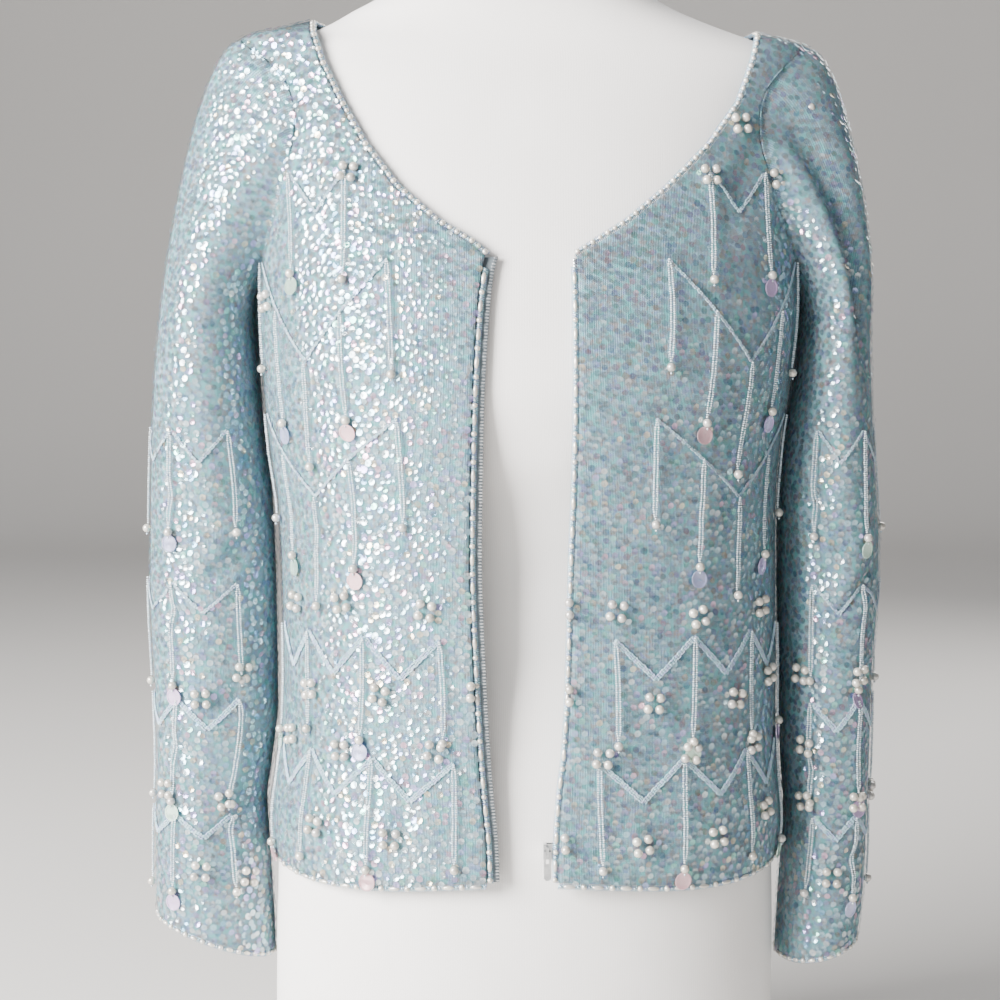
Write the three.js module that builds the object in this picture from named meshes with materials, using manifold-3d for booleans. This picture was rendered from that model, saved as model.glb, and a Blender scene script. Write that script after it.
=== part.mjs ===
// Sequin cardigan with bead fringe, open at the front, on a limbless dress form.
// Millimetres, +Z up. The fronts face -Y and the wearer's left is +X.
// The origin is the centre of the dress form's flat foot.
import * as THREE from "three";
import { mergeVertices } from "three/addons/utils/BufferGeometryUtils.js";
import Module from "manifold-3d";

// Cloth and trim sizes
const WALL = 2;
const SEAM_GAP = 0.4;
const SEAM_HALF = 0.24;
const CURVED_GAP = 0.6;
const ARMHOLE_GAP = 0.85;
const EDGING_WIDTH = 3;
const EDGING_RISE = 1;
const EDGING_DEPTH = 1.9;
const TAPE_WALL = 1.1;
const RIGHT_TAPE_REACH = 7.5;
const LEFT_TAPE_REACH = 3;
const TAPE_COVERED = 9;
const TAPE_CLEAR = 0.6;
const LEFT_TAPE_DROP = 4.6;
const RIGHT_TAPE_DROP = WALL + TAPE_CLEAR;

// Grid of each panel
const ROWS_BELOW = 12;
const ROWS_ABOVE = 10;
const SHOULDER_CROWDING = 1.4;
const FRONT_COLUMNS = 9;
const BACK_COLUMNS = 18;
const SEAM_COLUMNS = 3;
const CAP_ROWS = 8;
const ARM_ROWS = 10;

// Heights of the cut
const HEM = 179;
const HEM_LIFT = 6.5;
const FRONT_CORNER = 558;
const UNDERARM = 531;
const SLEEVE_START = 515;
const BODY_ROUNDNESS = 2.25;

// Outside of the worn body: half widths to the wearer's left and right, and depths
const BODY_RINGS = [
  { height: 170, left: 162.0, right: 161.0, front: 116.5, back: 117.5 },
  { height: 185, left: 164.0, right: 162.0, front: 116.0, back: 117.0 },
  { height: 205, left: 165.5, right: 162.6, front: 115.0, back: 115.0 },
  { height: 235, left: 163.0, right: 158.8, front: 114.0, back: 113.0 },
  { height: 262, left: 161.3, right: 155.2, front: 112.5, back: 109.0 },
  { height: 300, left: 161.0, right: 153.5, front: 112.0, back: 104.0 },
  { height: 350, left: 160.0, right: 154.0, front: 112.5, back: 99.0 },
  { height: 400, left: 159.5, right: 156.0, front: 114.0, back: 96.0 },
  { height: 440, left: 162.0, right: 161.5, front: 117.0, back: 95.0 },
  { height: 480, left: 168.0, right: 165.0, front: 119.0, back: 96.0 },
  { height: 531, left: 173.0, right: 168.0, front: 111.0, back: 98.0 },
  { height: 563, left: 172.5, right: 168.0, front: 103.0, back: 99.5 },
  { height: 600, left: 171.5, right: 169.0, front: 89.5, back: 99.0 },
  { height: 640, left: 173.0, right: 172.0, front: 73.0, back: 91.5 },
  { height: 662, left: 177.0, right: 176.5, front: 63.0, back: 81.0 },
  { height: 676, left: 179.5, right: 180.5, front: 56.5, back: 73.0 },
  { height: 684, left: 178.5, right: 182.0, front: 52.5, back: 68.5 },
  { height: 688, left: 175.5, right: 181.5, front: 51.0, back: 66.0 },
  { height: 691, left: 166.0, right: 179.5, front: 49.5, back: 64.0 },
  { height: 694, left: 153.0, right: 175.0, front: 48.5, back: 62.0 },
  { height: 698, left: 142.0, right: 161.0, front: 47.0, back: 60.0 },
  { height: 702, left: 131.0, right: 146.0, front: 46.0, back: 58.0 },
  { height: 706, left: 120.0, right: 129.0, front: 45.0, back: 56.0 },
];

// Where each front ends at the opening, measured from the centre line to the edging's rim
const FRONT_EDGE = [
  { height: 170, left: 15.6, right: 19.6 },
  { height: 203, left: 16.3, right: 20.5 },
  { height: 237, left: 18.2, right: 23.6 },
  { height: 260, left: 21.0, right: 25.4 },
  { height: 300, left: 23.2, right: 27.7 },
  { height: 378, left: 25.1, right: 30.4 },
  { height: 430, left: 26.8, right: 29.7 },
  { height: 470, left: 27.3, right: 28.7 },
  { height: 508, left: 27.2, right: 26.8 },
  { height: 535, left: 26.9, right: 24.6 },
  { height: 558, left: 26.2, right: 20.8 },
];

// The scooped front neck, as distances from the centre line at each height
const FRONT_NECK = [
  { height: 558, left: 26.2, right: 20.8 },
  { height: 565, left: 39.5, right: 31.0 },
  { height: 577, left: 58.5, right: 51.0 },
  { height: 598, left: 83.5, right: 75.5 },
  { height: 624, left: 109.3, right: 95.3 },
  { height: 650, left: 128.0, right: 110.0 },
  { height: 676, left: 137.7, right: 122.6 },
  { height: 695, left: 142.5, right: 129.0 },
];

// The shallow back neck
const BACK_NECK_DEPTH = 78;

// Shoulder ends
const SHOULDERS = {
  left: { neckHeight: 696.3, tipHeight: 689.5, side: 1 },
  right: { neckHeight: 704.6, tipHeight: 693.5, side: -1 },
};
const ARMHOLE_DEPTH = { front: 50, back: 54 };

// Each hanging sleeve: its inner and outer reach from the centre line, and its depths
const SLEEVES = {
  left: {
    cuff: 112, cuffLift: 12, lean: 0.04, fullness: 20, drop: 92,
    rings: [
      { height: 100, inner: 163.5, outer: 214.0, front: 41, back: 38 },
      { height: 125, inner: 164.5, outer: 216.5, front: 41, back: 38 },
      { height: 147, inner: 165.5, outer: 219.0, front: 41, back: 38 },
      { height: 175, inner: 167.0, outer: 220.5, front: 42, back: 39 },
      { height: 205, inner: 168.3, outer: 221.0, front: 43, back: 40 },
      { height: 235, inner: 166.2, outer: 222.0, front: 44, back: 41 },
      { height: 300, inner: 163.6, outer: 223.2, front: 46, back: 43 },
      { height: 365, inner: 162.4, outer: 226.2, front: 48, back: 46 },
      { height: 403, inner: 162.2, outer: 224.4, front: 50, back: 48 },
      { height: 440, inner: 164.8, outer: 221.5, front: 52, back: 50 },
      { height: 480, inner: 170.8, outer: 219.0, front: 54, back: 52 },
      { height: 515, inner: 174.6, outer: 217.4, front: 54, back: 54 },
    ],
  },
  right: {
    cuff: 112, cuffLift: 26, lean: 0.13, fullness: 17, drop: 96,
    rings: [
      { height: 100, inner: 161.5, outer: 236.5, front: 33, back: 33 },
      { height: 125, inner: 162.0, outer: 237.5, front: 34, back: 34 },
      { height: 150, inner: 163.2, outer: 238.2, front: 34, back: 34 },
      { height: 190, inner: 165.2, outer: 238.0, front: 35, back: 35 },
      { height: 211, inner: 166.2, outer: 237.0, front: 35, back: 35 },
      { height: 237, inner: 162.6, outer: 236.2, front: 36, back: 36 },
      { height: 275, inner: 158.6, outer: 236.8, front: 37, back: 36 },
      { height: 338, inner: 159.0, outer: 239.2, front: 39, back: 38 },
      { height: 403, inner: 161.0, outer: 238.0, front: 43, back: 42 },
      { height: 451, inner: 166.2, outer: 236.0, front: 47, back: 45 },
      { height: 485, inner: 168.4, outer: 233.8, front: 50, back: 48 },
      { height: 515, inner: 169.8, outer: 230.8, front: 51, back: 51 },
    ],
  },
};

// Lengthwise folds of the sleeves: where round the arm (0 is inside, 90 is front), and how deep
const SLEEVE_FOLDS = {
  left: [
    { turn: 122, spread: 13, foot: 470, head: 672, depth: 6.5 },
    { turn: 152, spread: 14, foot: 500, head: 650, depth: -2.5 },
    { turn: 78, spread: 16, foot: 330, head: 480, depth: 3.0 },
    { turn: 250, spread: 16, foot: 430, head: 640, depth: 5.0 },
    { turn: 100, spread: 20, foot: 150, head: 300, depth: 2.5 },
  ],
  right: [
    { turn: 52, spread: 12, foot: 560, head: 650, depth: 4.0 },
    { turn: 108, spread: 18, foot: 330, head: 500, depth: 2.0 },
    { turn: 255, spread: 18, foot: 400, head: 640, depth: 4.5 },
    { turn: 75, spread: 16, foot: 150, head: 260, depth: 2.5 },
  ],
};
const FOLD_FADE = 60;

// The dress form
const FORM_COLUMNS = 26;
const FORM_ROUNDNESS = 2.2;
const FORM_RINGS = [
  { height: 0, left: 154.0, right: 154.0, front: 89.0, back: 94.0 },
  { height: 3, left: 157.0, right: 157.0, front: 92.0, back: 97.0 },
  { height: 60, left: 160.0, right: 160.5, front: 98.0, back: 106.0 },
  { height: 120, left: 160.5, right: 160.0, front: 104.0, back: 112.0 },
  { height: 180, left: 159.5, right: 158.0, front: 105.0, back: 110.5 },
  { height: 235, left: 155.0, right: 152.0, front: 101.0, back: 100.0 },
  { height: 275, left: 142.0, right: 141.0, front: 94.0, back: 84.0 },
  { height: 325, left: 127.0, right: 127.0, front: 85.0, back: 68.0 },
  { height: 365, left: 128.0, right: 128.0, front: 84.0, back: 70.0 },
  { height: 403, left: 136.0, right: 136.0, front: 90.0, back: 75.0 },
  { height: 440, left: 148.0, right: 147.0, front: 104.0, back: 81.0 },
  { height: 480, left: 160.0, right: 158.0, front: 112.5, back: 87.0 },
  { height: 531, left: 166.0, right: 163.0, front: 104.5, back: 91.5 },
  { height: 563, left: 166.0, right: 163.5, front: 96.5, back: 93.0 },
  { height: 600, left: 165.0, right: 164.5, front: 83.5, back: 92.5 },
  { height: 640, left: 166.5, right: 167.0, front: 67.5, back: 85.5 },
  { height: 660, left: 169.5, right: 171.0, front: 58.0, back: 76.0 },
  { height: 672, left: 172.0, right: 174.5, front: 52.0, back: 69.0 },
  { height: 680, left: 169.5, right: 174.0, front: 48.0, back: 64.0 },
  { height: 685, left: 161.5, right: 170.0, front: 46.0, back: 61.0 },
  { height: 689, left: 151.0, right: 162.0, front: 44.5, back: 58.0 },
  { height: 693.5, left: 138.0, right: 144.5, front: 43.5, back: 56.0 },
  { height: 698, left: 125.0, right: 130.5, front: 43.5, back: 54.5 },
  { height: 703, left: 111.5, right: 119.5, front: 43.5, back: 53.5 },
  { height: 709, left: 97.0, right: 109.0, front: 44.0, back: 52.5 },
  { height: 715, left: 85.5, right: 97.0, front: 45.0, back: 51.5 },
  { height: 723, left: 76.0, right: 83.0, front: 46.5, back: 51.0 },
  { height: 736, left: 63.0, right: 68.0, front: 49.0, back: 50.0 },
  { height: 752, left: 56.0, right: 60.0, front: 51.0, back: 50.0 },
  { height: 785, left: 53.0, right: 56.0, front: 52.0, back: 50.0 },
  { height: 790, left: 50.0, right: 53.0, front: 49.0, back: 47.0 },
];

// The bead fringe: a stitched zigzag line, and loops that hang from it
const STITCH = { halfWidth: 1.0, low: 0.8, high: 1.8 };
const BODY_STEP = 20;
const SLEEVE_STEP = 9;
const LOOP = { halfWidth: 1.3, low: 1.5, high: 2.7, length: 61 };
const PEARL = { halfWidth: 3.0, low: 1.2, high: 7.2 };
const PAILLETTE = { halfWidth: 5.4, low: 1.4, high: 2.6 };
const LOOP_TIP = { halfWidth: 0.5, low: 1.6, high: 2.2 };

// Zigzags of the body: first and last point across the panel as shares of its width,
// with a loop at every peak, and at the low points and halfway where the line says so
const FRONT_ZIGZAGS = [
  { name: "yoke", height: 606, rise: -24, from: 0.36, to: 0.56, waves: 1, loops: "peaks" },
  { name: "bust", height: 553, rise: -60, from: 0.24, to: 0.76, waves: 1, loops: "all" },
  { name: "waist", height: 460, rise: -48, from: 0.22, to: 0.8, waves: 1, loops: "all" },
  { name: "hip", height: 329, rise: -24, from: 0.12, to: 0.8, waves: 3, loops: "peaks" },
  { name: "hem", height: 256, rise: -24, from: 0.08, to: 0.78, waves: 3, loops: "peaks" },
];
const BACK_ZIGZAGS = [
  { name: "yoke", height: 628, rise: -30, from: 0.27, to: 0.73, waves: 2, loops: "peaks" },
  { name: "bust", height: 545, rise: -48, from: 0.14, to: 0.86, waves: 3, loops: "ends" },
  { name: "waist", height: 458, rise: -48, from: 0.12, to: 0.88, waves: 3, loops: "ends" },
  { name: "hip", height: 329, rise: -24, from: 0.12, to: 0.88, waves: 5, loops: "peaks" },
  { name: "hem", height: 256, rise: -24, from: 0.12, to: 0.88, waves: 5, loops: "peaks" },
];
const SLEEVE_ZIGZAGS = [
  { name: "upper", height: 450, rise: -20, waves: 4, loop: 61 },
  { name: "elbow", height: 354, rise: -18, waves: 4, loop: 61 },
  { name: "fore", height: 280, rise: -18, waves: 4, loop: 61 },
  { name: "cuff", height: 206, rise: -14, waves: 4, loop: 46 },
];
const SLEEVE_ZIGZAG_ENDS = { from: 62, to: 298 };

// The zip slider at the foot of the left front, and its hanging pull tab
const SLIDER_SHOWING = 5.9;
const SLIDER = { height: 203, width: 9.5, tall: 9, plate: 1.1, slot: 2.9, spine: 1.8, play: 0.1, joint: 0.2 };
const CROWN = { width: 1.4, tall: 6.4, leg: 1.3, clear: 2.6, bar: 1.1 };
const PULL = { width: 4.2, length: 17, wall: 1.1, pin: 1.1, rim: 1.1, corner: 1.2, play: 0.3 };

// Steps and limits of the curves
const BISECTIONS = 40;
const WELD = 1e-4;
const MITRE_LIMIT = 0.6;
const ARMHOLE_REACH = 170;
const SLEEVE_SEAM = 1.2;
const CAP = { tilt: 0.22, leave: 1.6, arrive: 5 };
const FRONT_FRINGE_START = 25;
const SEARCH_STEPS = 25;
const SMALL_RISE = 0.3;
const SMALL_TURN = 0.003;
const LARGEST_RISE = 8;
const LARGEST_TURN = 0.08;

// Smooth curve through one column of a table whose rows rise in height
function columnCurve(rows, column) {
  const heights = rows.map((row) => row.height);
  const values = rows.map((row) => row[column]);
  const rate = (i) => (values[i + 1] - values[i]) / (heights[i + 1] - heights[i]);
  const slopes = rows.map((_, i) => {
    if (i === 0) return rate(0);
    if (i === rows.length - 1) return rate(i - 1);
    const before = rate(i - 1);
    const after = rate(i);
    return before * after <= 0 ? 0 : (2 * before * after) / (before + after);
  });
  return (height) => {
    let i = 0;
    while (i < rows.length - 2 && height > heights[i + 1]) i += 1;
    const span = heights[i + 1] - heights[i];
    const t = THREE.MathUtils.clamp((height - heights[i]) / span, 0, 1);
    const squared = t * t;
    const cubed = squared * t;
    return (2 * cubed - 3 * squared + 1) * values[i]
      + (cubed - 2 * squared + t) * span * slopes[i]
      + (3 * squared - 2 * cubed) * values[i + 1]
      + (cubed - squared) * span * slopes[i + 1];
  };
}

// Surface of horizontal rings. Angle 0 is the wearer's left side and 90 degrees the centre front.
function ringSurface(rows, roundness) {
  const curve = {};
  for (const column of ["left", "right", "front", "back"]) curve[column] = columnCurve(rows, column);
  return (height, angle) => {
    const across = Math.cos(angle);
    const along = Math.sin(angle);
    const sum = Math.abs(across) ** roundness + Math.abs(along) ** roundness;
    const reach = sum ** (-1 / roundness);
    const half = across > 0 ? curve.left(height) : curve.right(height);
    const depth = along > 0 ? curve.front(height) : curve.back(height);
    return new THREE.Vector3(half * across * reach, -depth * along * reach, height);
  };
}

// Outward normal of the surface, from two small steps along it
function normalOf(surface, height, angle) {
  const up = surface(height + SMALL_RISE, angle).sub(surface(height - SMALL_RISE, angle));
  const round = surface(height, angle + SMALL_TURN).sub(surface(height, angle - SMALL_TURN));
  return up.cross(round).normalize();
}

const bodySurface = ringSurface(BODY_RINGS, BODY_ROUNDNESS);

// A point of the cloth's outside, moved out by rise
function onBody({ height, angle }, rise = 0) {
  const normal = normalOf(bodySurface, height, angle);
  return bodySurface(height, angle).addScaledVector(normal, rise);
}

// The angle from the side seam at which one coordinate of the ring reaches a wanted size
function quarterAngle(height, side, facing, axis, wanted) {
  let low = 0;
  let high = Math.PI / 2;
  const rising = axis === "y";
  for (let i = 0; i < BISECTIONS; i += 1) {
    const middle = (low + high) / 2;
    const found = Math.abs(bodySurface(height, roundAngle(side, facing, middle))[axis]);
    if (found < wanted === rising) low = middle;
    else high = middle;
  }
  return (low + high) / 2;
}

// Angle that keeps a panel's side half a seam away from the side line
const seamAngle = (height) => SEAM_HALF / bodySurface(height, 0).x;

// Full angle of a place that lies this far round from the side towards the centre
function roundAngle(side, facing, fromSide) {
  const left = facing === "front" ? fromSide : -fromSide;
  return side > 0 ? left : (facing === "front" ? Math.PI : -Math.PI) - left;
}

// A polyline's point at a share of its length; measures lists what counts as length
function walk(points, share, measures) {
  const lengths = points.slice(1).map((point, i) =>
    Math.hypot(...measures.map((key) => point[key] - points[i][key])));
  let left = share * lengths.reduce((sum, length) => sum + length, 0);
  let i = 0;
  while (i < lengths.length - 1 && left > lengths[i]) {
    left -= lengths[i];
    i += 1;
  }
  const t = THREE.MathUtils.clamp(left / lengths[i], 0, 1);
  const found = {};
  for (const key of measures) found[key] = points[i][key] + (points[i + 1][key] - points[i][key]) * t;
  return found;
}

// One closed body from corner points and triangles, turned so that its faces point out
function closedBody(points, triangles) {
  let volume = 0;
  const product = new THREE.Vector3();
  for (const [a, b, c] of triangles) {
    volume += product.crossVectors(points[a], points[b]).dot(points[c]);
  }
  const order = volume < 0 ? triangles.map(([a, b, c]) => [a, c, b]) : triangles;
  const geometry = new THREE.BufferGeometry();
  geometry.setAttribute("position", new THREE.Float32BufferAttribute(
    points.flatMap((point) => point.toArray()), 3));
  geometry.setIndex(order.flat());
  return geometry;
}

// Body swept through sections of equal count, each a closed loop of points
function sweptBody(sections, closed = false) {
  const count = sections[0].length;
  const points = sections.flat();
  const triangles = [];
  const last = closed ? sections.length : sections.length - 1;
  for (let j = 0; j < last; j += 1) {
    const here = j * count;
    const next = ((j + 1) % sections.length) * count;
    for (let i = 0; i < count; i += 1) {
      const turn = (i + 1) % count;
      triangles.push([here + i, here + turn, next + turn], [here + i, next + turn, next + i]);
    }
  }
  if (!closed) {
    const end = (sections.length - 1) * count;
    for (let i = 1; i < count - 1; i += 1) {
      triangles.push([0, i + 1, i], [end, end + i, end + i + 1]);
    }
  }
  return closedBody(points, triangles);
}

// Wall between an outer and an inner grid of points; round grids close on themselves
function wallBody(outer, inner, round) {
  const rows = outer.length;
  const columns = outer[0].length;
  const points = [...outer.flat(), ...inner.flat()];
  const under = rows * columns;
  const at = (j, i) => j * columns + (i % columns);
  const triangles = [];
  const quad = (a, b, c, d) => triangles.push([a, b, c], [a, c, d]);
  const spans = round ? columns : columns - 1;
  for (let j = 0; j < rows - 1; j += 1) {
    for (let i = 0; i < spans; i += 1) {
      quad(at(j, i), at(j, i + 1), at(j + 1, i + 1), at(j + 1, i));
      quad(under + at(j, i), under + at(j + 1, i), under + at(j + 1, i + 1), under + at(j, i + 1));
    }
  }
  for (let i = 0; i < spans; i += 1) {
    const top = rows - 1;
    if (round && i >= spans / 2) {
      quad(under + at(0, i), under + at(0, i + 1), at(0, i + 1), at(0, i));
    } else quad(at(0, i), under + at(0, i), under + at(0, i + 1), at(0, i + 1));
    quad(at(top, i), at(top, i + 1), under + at(top, i + 1), under + at(top, i));
  }
  if (!round) {
    for (let j = 0; j < rows - 1; j += 1) {
      const end = columns - 1;
      quad(at(j, 0), at(j + 1, 0), under + at(j + 1, 0), under + at(j, 0));
      quad(at(j, end), under + at(j, end), under + at(j + 1, end), at(j + 1, end));
    }
  }
  return closedBody(points, triangles);
}

// The place of the body's surface nearest to a point, searched from a first guess
function placeNear(point, guess) {
  let { height, angle } = guess;
  for (let i = 0; i < SEARCH_STEPS; i += 1) {
    const rise = bodySurface(height + SMALL_RISE, angle).sub(bodySurface(height - SMALL_RISE, angle))
      .divideScalar(2 * SMALL_RISE);
    const round = bodySurface(height, angle + SMALL_TURN).sub(bodySurface(height, angle - SMALL_TURN))
      .divideScalar(2 * SMALL_TURN);
    const missing = point.clone().sub(bodySurface(height, angle));
    const mixed = rise.dot(round);
    const determinant = rise.lengthSq() * round.lengthSq() - mixed * mixed;
    const up = (missing.dot(rise) * round.lengthSq() - missing.dot(round) * mixed) / determinant;
    const turn = (missing.dot(round) * rise.lengthSq() - missing.dot(rise) * mixed) / determinant;
    height += THREE.MathUtils.clamp(up, -LARGEST_RISE, LARGEST_RISE);
    angle += THREE.MathUtils.clamp(turn, -LARGEST_TURN, LARGEST_TURN);
  }
  return { height, angle };
}

// Shares of a border's length at its points
function lengthShares(points) {
  const lengths = [0];
  for (let j = 1; j < points.length; j += 1) {
    lengths.push(lengths[j - 1] + points[j].distanceTo(points[j - 1]));
  }
  return lengths.map((length) => length / lengths.at(-1));
}

// Grid of places between four borders, the rows running from the bottom border to the top one
function fillPanel(bottom, top, first, last) {
  const columns = bottom.length - 1;
  const rows = first.length - 1;
  const [under, over, start, end] = [bottom, top, first, last].map(
    (border) => border.map((place) => onBody(place)),
  );
  const startShares = lengthShares(start);
  const endShares = lengthShares(end);
  const mix = (a, b, t) => a.clone().lerp(b, t);
  return first.map((_, j) => bottom.map((__, i) => {
    if (j === 0) return bottom[i];
    if (j === rows) return top[i];
    if (i === 0) return first[j];
    if (i === columns) return last[j];
    const t = i / columns;
    const s = startShares[j] + (endShares[j] - startShares[j]) * t;
    const point = mix(under[i], over[i], s)
      .add(mix(start[j], end[j], t))
      .sub(mix(mix(under[0], under[columns], t), mix(over[0], over[columns], t), s));
    const guess = {
      height: point.z,
      angle: bottom[i].angle + (top[i].angle - bottom[i].angle) * s,
    };
    return placeNear(point, guess);
  }));
}

const panelWall = (grid) => wallBody(
  grid.map((row) => row.map((place) => onBody(place))),
  grid.map((row) => row.map((place) => onBody(place, -WALL))),
  false,
);

// The hem rides up a little at the sides and at the front corners
const hemHeight = (angle) => HEM + HEM_LIFT * Math.cos(2 * angle) ** 2;

// Shares of the way up the armhole and the neck at which rows lie, closer together near the shoulder
const ROW_SHARES = Array.from(
  { length: ROWS_ABOVE + 1 },
  (_, j) => 1 - (1 - j / ROWS_ABOVE) ** SHOULDER_CROWDING,
);

// Share of the way round an armhole, from the underarm (0) to the shoulder (1)
function armholePlace(side, facing, share) {
  const shoulder = side > 0 ? SHOULDERS.left : SHOULDERS.right;
  const height = UNDERARM + (shoulder.tipHeight - UNDERARM) * (1 - Math.cos(Math.PI * share)) / 2;
  const depth = ARMHOLE_DEPTH[facing] * Math.sin(Math.PI * share);
  const fromSide = Math.max(seamAngle(height), quarterAngle(height, side, facing, "y", depth));
  return { height, angle: roundAngle(side, facing, fromSide) };
}

// Border from the hem up the side seam, then round the armhole to the shoulder tip
function sideBorder(side, facing) {
  const places = [];
  const angle = roundAngle(side, facing, seamAngle(UNDERARM));
  const hem = hemHeight(angle);
  for (let j = 0; j < ROWS_BELOW; j += 1) {
    places.push({ height: hem + (UNDERARM - hem) * j / ROWS_BELOW, angle });
  }
  for (const share of ROW_SHARES) places.push(armholePlace(side, facing, share));
  return places;
}

// The neck curve moved away from the opening by the edging, as heights and distances
function neckCurve(name) {
  const reach = EDGING_WIDTH + SEAM_GAP;
  const line = FRONT_NECK.map((row) => ({ height: row.height, across: row[name] }));
  return line.map((point, i) => {
    const before = line[Math.max(i - 1, 0)];
    const after = line[Math.min(i + 1, line.length - 1)];
    const rise = after.height - before.height;
    const run = after.across - before.across;
    const length = Math.hypot(rise, run);
    return { height: point.height - reach * run / length, across: point.across + reach * rise / length };
  });
}

// Border up the front edge, then along the neck to the shoulder
function openingBorder(name) {
  const { side, neckHeight } = SHOULDERS[name];
  const edge = columnCurve(FRONT_EDGE, name);
  const neck = neckCurve(name);
  const reach = EDGING_WIDTH + SEAM_GAP;
  const place = (height, across) => ({
    height,
    angle: roundAngle(side, "front", quarterAngle(height, side, "front", "x", across)),
  });
  const corner = { height: FRONT_CORNER - reach, across: edge(FRONT_CORNER) + reach };
  const hem = HEM + HEM_LIFT;
  const places = [];
  for (let j = 0; j < ROWS_BELOW; j += 1) {
    const height = hem + (corner.height - hem) * j / ROWS_BELOW;
    places.push(place(height, edge(height) + reach));
  }
  const route = [corner, ...neck.slice(1)];
  for (let j = 0; j < ROWS_ABOVE; j += 1) {
    const found = walk(route, ROW_SHARES[j], ["height", "across"]);
    places.push(place(found.height, found.across));
  }
  places.push({ height: neckHeight, angle: roundAngle(side, "front", seamAngle(neckHeight)) });
  return places;
}

// Places between two ends, evenly spaced, with the hem's own height along the bottom
const rowBetween = (from, to, count, heightOf) => Array.from({ length: count + 1 }, (_, i) => {
  const t = i / count;
  const angle = from.angle + (to.angle - from.angle) * t;
  return { height: heightOf ? heightOf(angle) : from.height + (to.height - from.height) * t, angle };
});

function frontGrid(name) {
  const side = sideBorder(SHOULDERS[name].side, "front");
  const opening = openingBorder(name);
  const bottom = rowBetween(opening[0], side[0], FRONT_COLUMNS, hemHeight);
  opening[0] = bottom[0];
  const top = rowBetween(opening.at(-1), side.at(-1), FRONT_COLUMNS);
  return fillPanel(bottom, top, opening, side);
}

// The place of the back at which the surface has this distance from the centre line and this depth
function backPlaceAt(side, across, depth) {
  let low = BODY_RINGS[0].height;
  let high = BODY_RINGS.at(-1).height;
  let place;
  for (let i = 0; i < BISECTIONS; i += 1) {
    const height = (low + high) / 2;
    place = { height, angle: roundAngle(side, "back", quarterAngle(height, side, "back", "x", across)) };
    if (bodySurface(height, place.angle).y > depth) low = height;
    else high = height;
  }
  return place;
}

// The back's top edge: shoulder seam, neck scoop, shoulder seam
function backTop() {
  const neckColumns = BACK_COLUMNS - 2 * SEAM_COLUMNS;
  const ends = {};
  for (const [name, { side, neckHeight }] of Object.entries(SHOULDERS)) {
    const across = Math.abs(bodySurface(neckHeight, side > 0 ? 0 : Math.PI).x);
    const angle = roundAngle(side, "back", seamAngle(neckHeight));
    ends[name] = { across, place: { height: neckHeight, angle } };
  }
  const neck = Array.from({ length: neckColumns + 1 }, (_, i) => {
    const turn = Math.PI * i / neckColumns;
    const name = turn < Math.PI / 2 ? "left" : "right";
    if (i === 0 || i === neckColumns) return ends[name].place;
    return backPlaceAt(SHOULDERS[name].side, Math.abs(Math.cos(turn)) * ends[name].across,
      BACK_NECK_DEPTH * Math.sin(turn));
  });
  return [
    ...rowBetween(sideBorder(1, "back").at(-1), ends.left.place, SEAM_COLUMNS).slice(0, -1),
    ...neck,
    ...rowBetween(ends.right.place, sideBorder(-1, "back").at(-1), SEAM_COLUMNS).slice(1),
  ];
}

function backGrid() {
  const first = sideBorder(1, "back");
  const last = sideBorder(-1, "back");
  const bottom = rowBetween(first[0], last[0], BACK_COLUMNS, hemHeight);
  return fillPanel(bottom, backTop(), first, last);
}

// Share of a fold's depth at a height, fading out at both ends
function foldStrength(fold, height) {
  const fade = (distance) => THREE.MathUtils.smoothstep(distance, 0, FOLD_FADE);
  return fade(height - fold.foot) * fade(fold.head - height);
}

function foldDepth(name, turn, height) {
  let depth = 0;
  for (const fold of SLEEVE_FOLDS[name]) {
    const distance = (THREE.MathUtils.radToDeg(turn) - fold.turn) / fold.spread;
    depth += fold.depth * Math.exp(-distance * distance) * foldStrength(fold, height);
  }
  return depth;
}

// A hanging sleeve's outside below the underarm. Turn 0 is inside, 90 degrees the front.
function sleeveSurface(name) {
  const { rings } = SLEEVES[name];
  const { side } = SHOULDERS[name];
  const curve = {};
  for (const column of ["inner", "outer", "front", "back"]) curve[column] = columnCurve(rings, column);
  return (height, turn) => {
    const centre = (curve.inner(height) + curve.outer(height)) / 2;
    const half = (curve.outer(height) - curve.inner(height)) / 2;
    const depth = Math.sin(turn) > 0 ? curve.front(height) : curve.back(height);
    const outward = new THREE.Vector2(-Math.cos(turn) / half, -Math.sin(turn) / depth).normalize();
    const fold = foldDepth(name, turn, height);
    return new THREE.Vector3(
      side * (centre - half * Math.cos(turn) - outward.x * fold),
      -depth * Math.sin(turn) - outward.y * fold,
      height,
    );
  };
}

// Armhole point of a turn, with the direction in which the body's cloth would go on
function armholeFrame(name, turn) {
  const { side } = SHOULDERS[name];
  const at = (angle) => {
    const wrapped = ((angle % (2 * Math.PI)) + 2 * Math.PI) % (2 * Math.PI);
    const facing = wrapped <= Math.PI ? "front" : "back";
    const share = facing === "front" ? wrapped / Math.PI : 2 - wrapped / Math.PI;
    return armholePlace(side, facing, share);
  };
  const place = at(turn);
  const step = 0.02;
  const along = onBody(at(turn + step)).sub(onBody(at(turn - step)));
  const normal = normalOf(bodySurface, place.height, place.angle);
  const onward = along.cross(normal).normalize();
  const hollow = new THREE.Vector3(side * ARMHOLE_REACH, 0, (UNDERARM + SHOULDERS[name].tipHeight) / 2);
  const point = onBody(place);
  if (onward.dot(hollow.clone().sub(point)) < 0) onward.negate();
  return { point, normal, onward };
}

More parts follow.
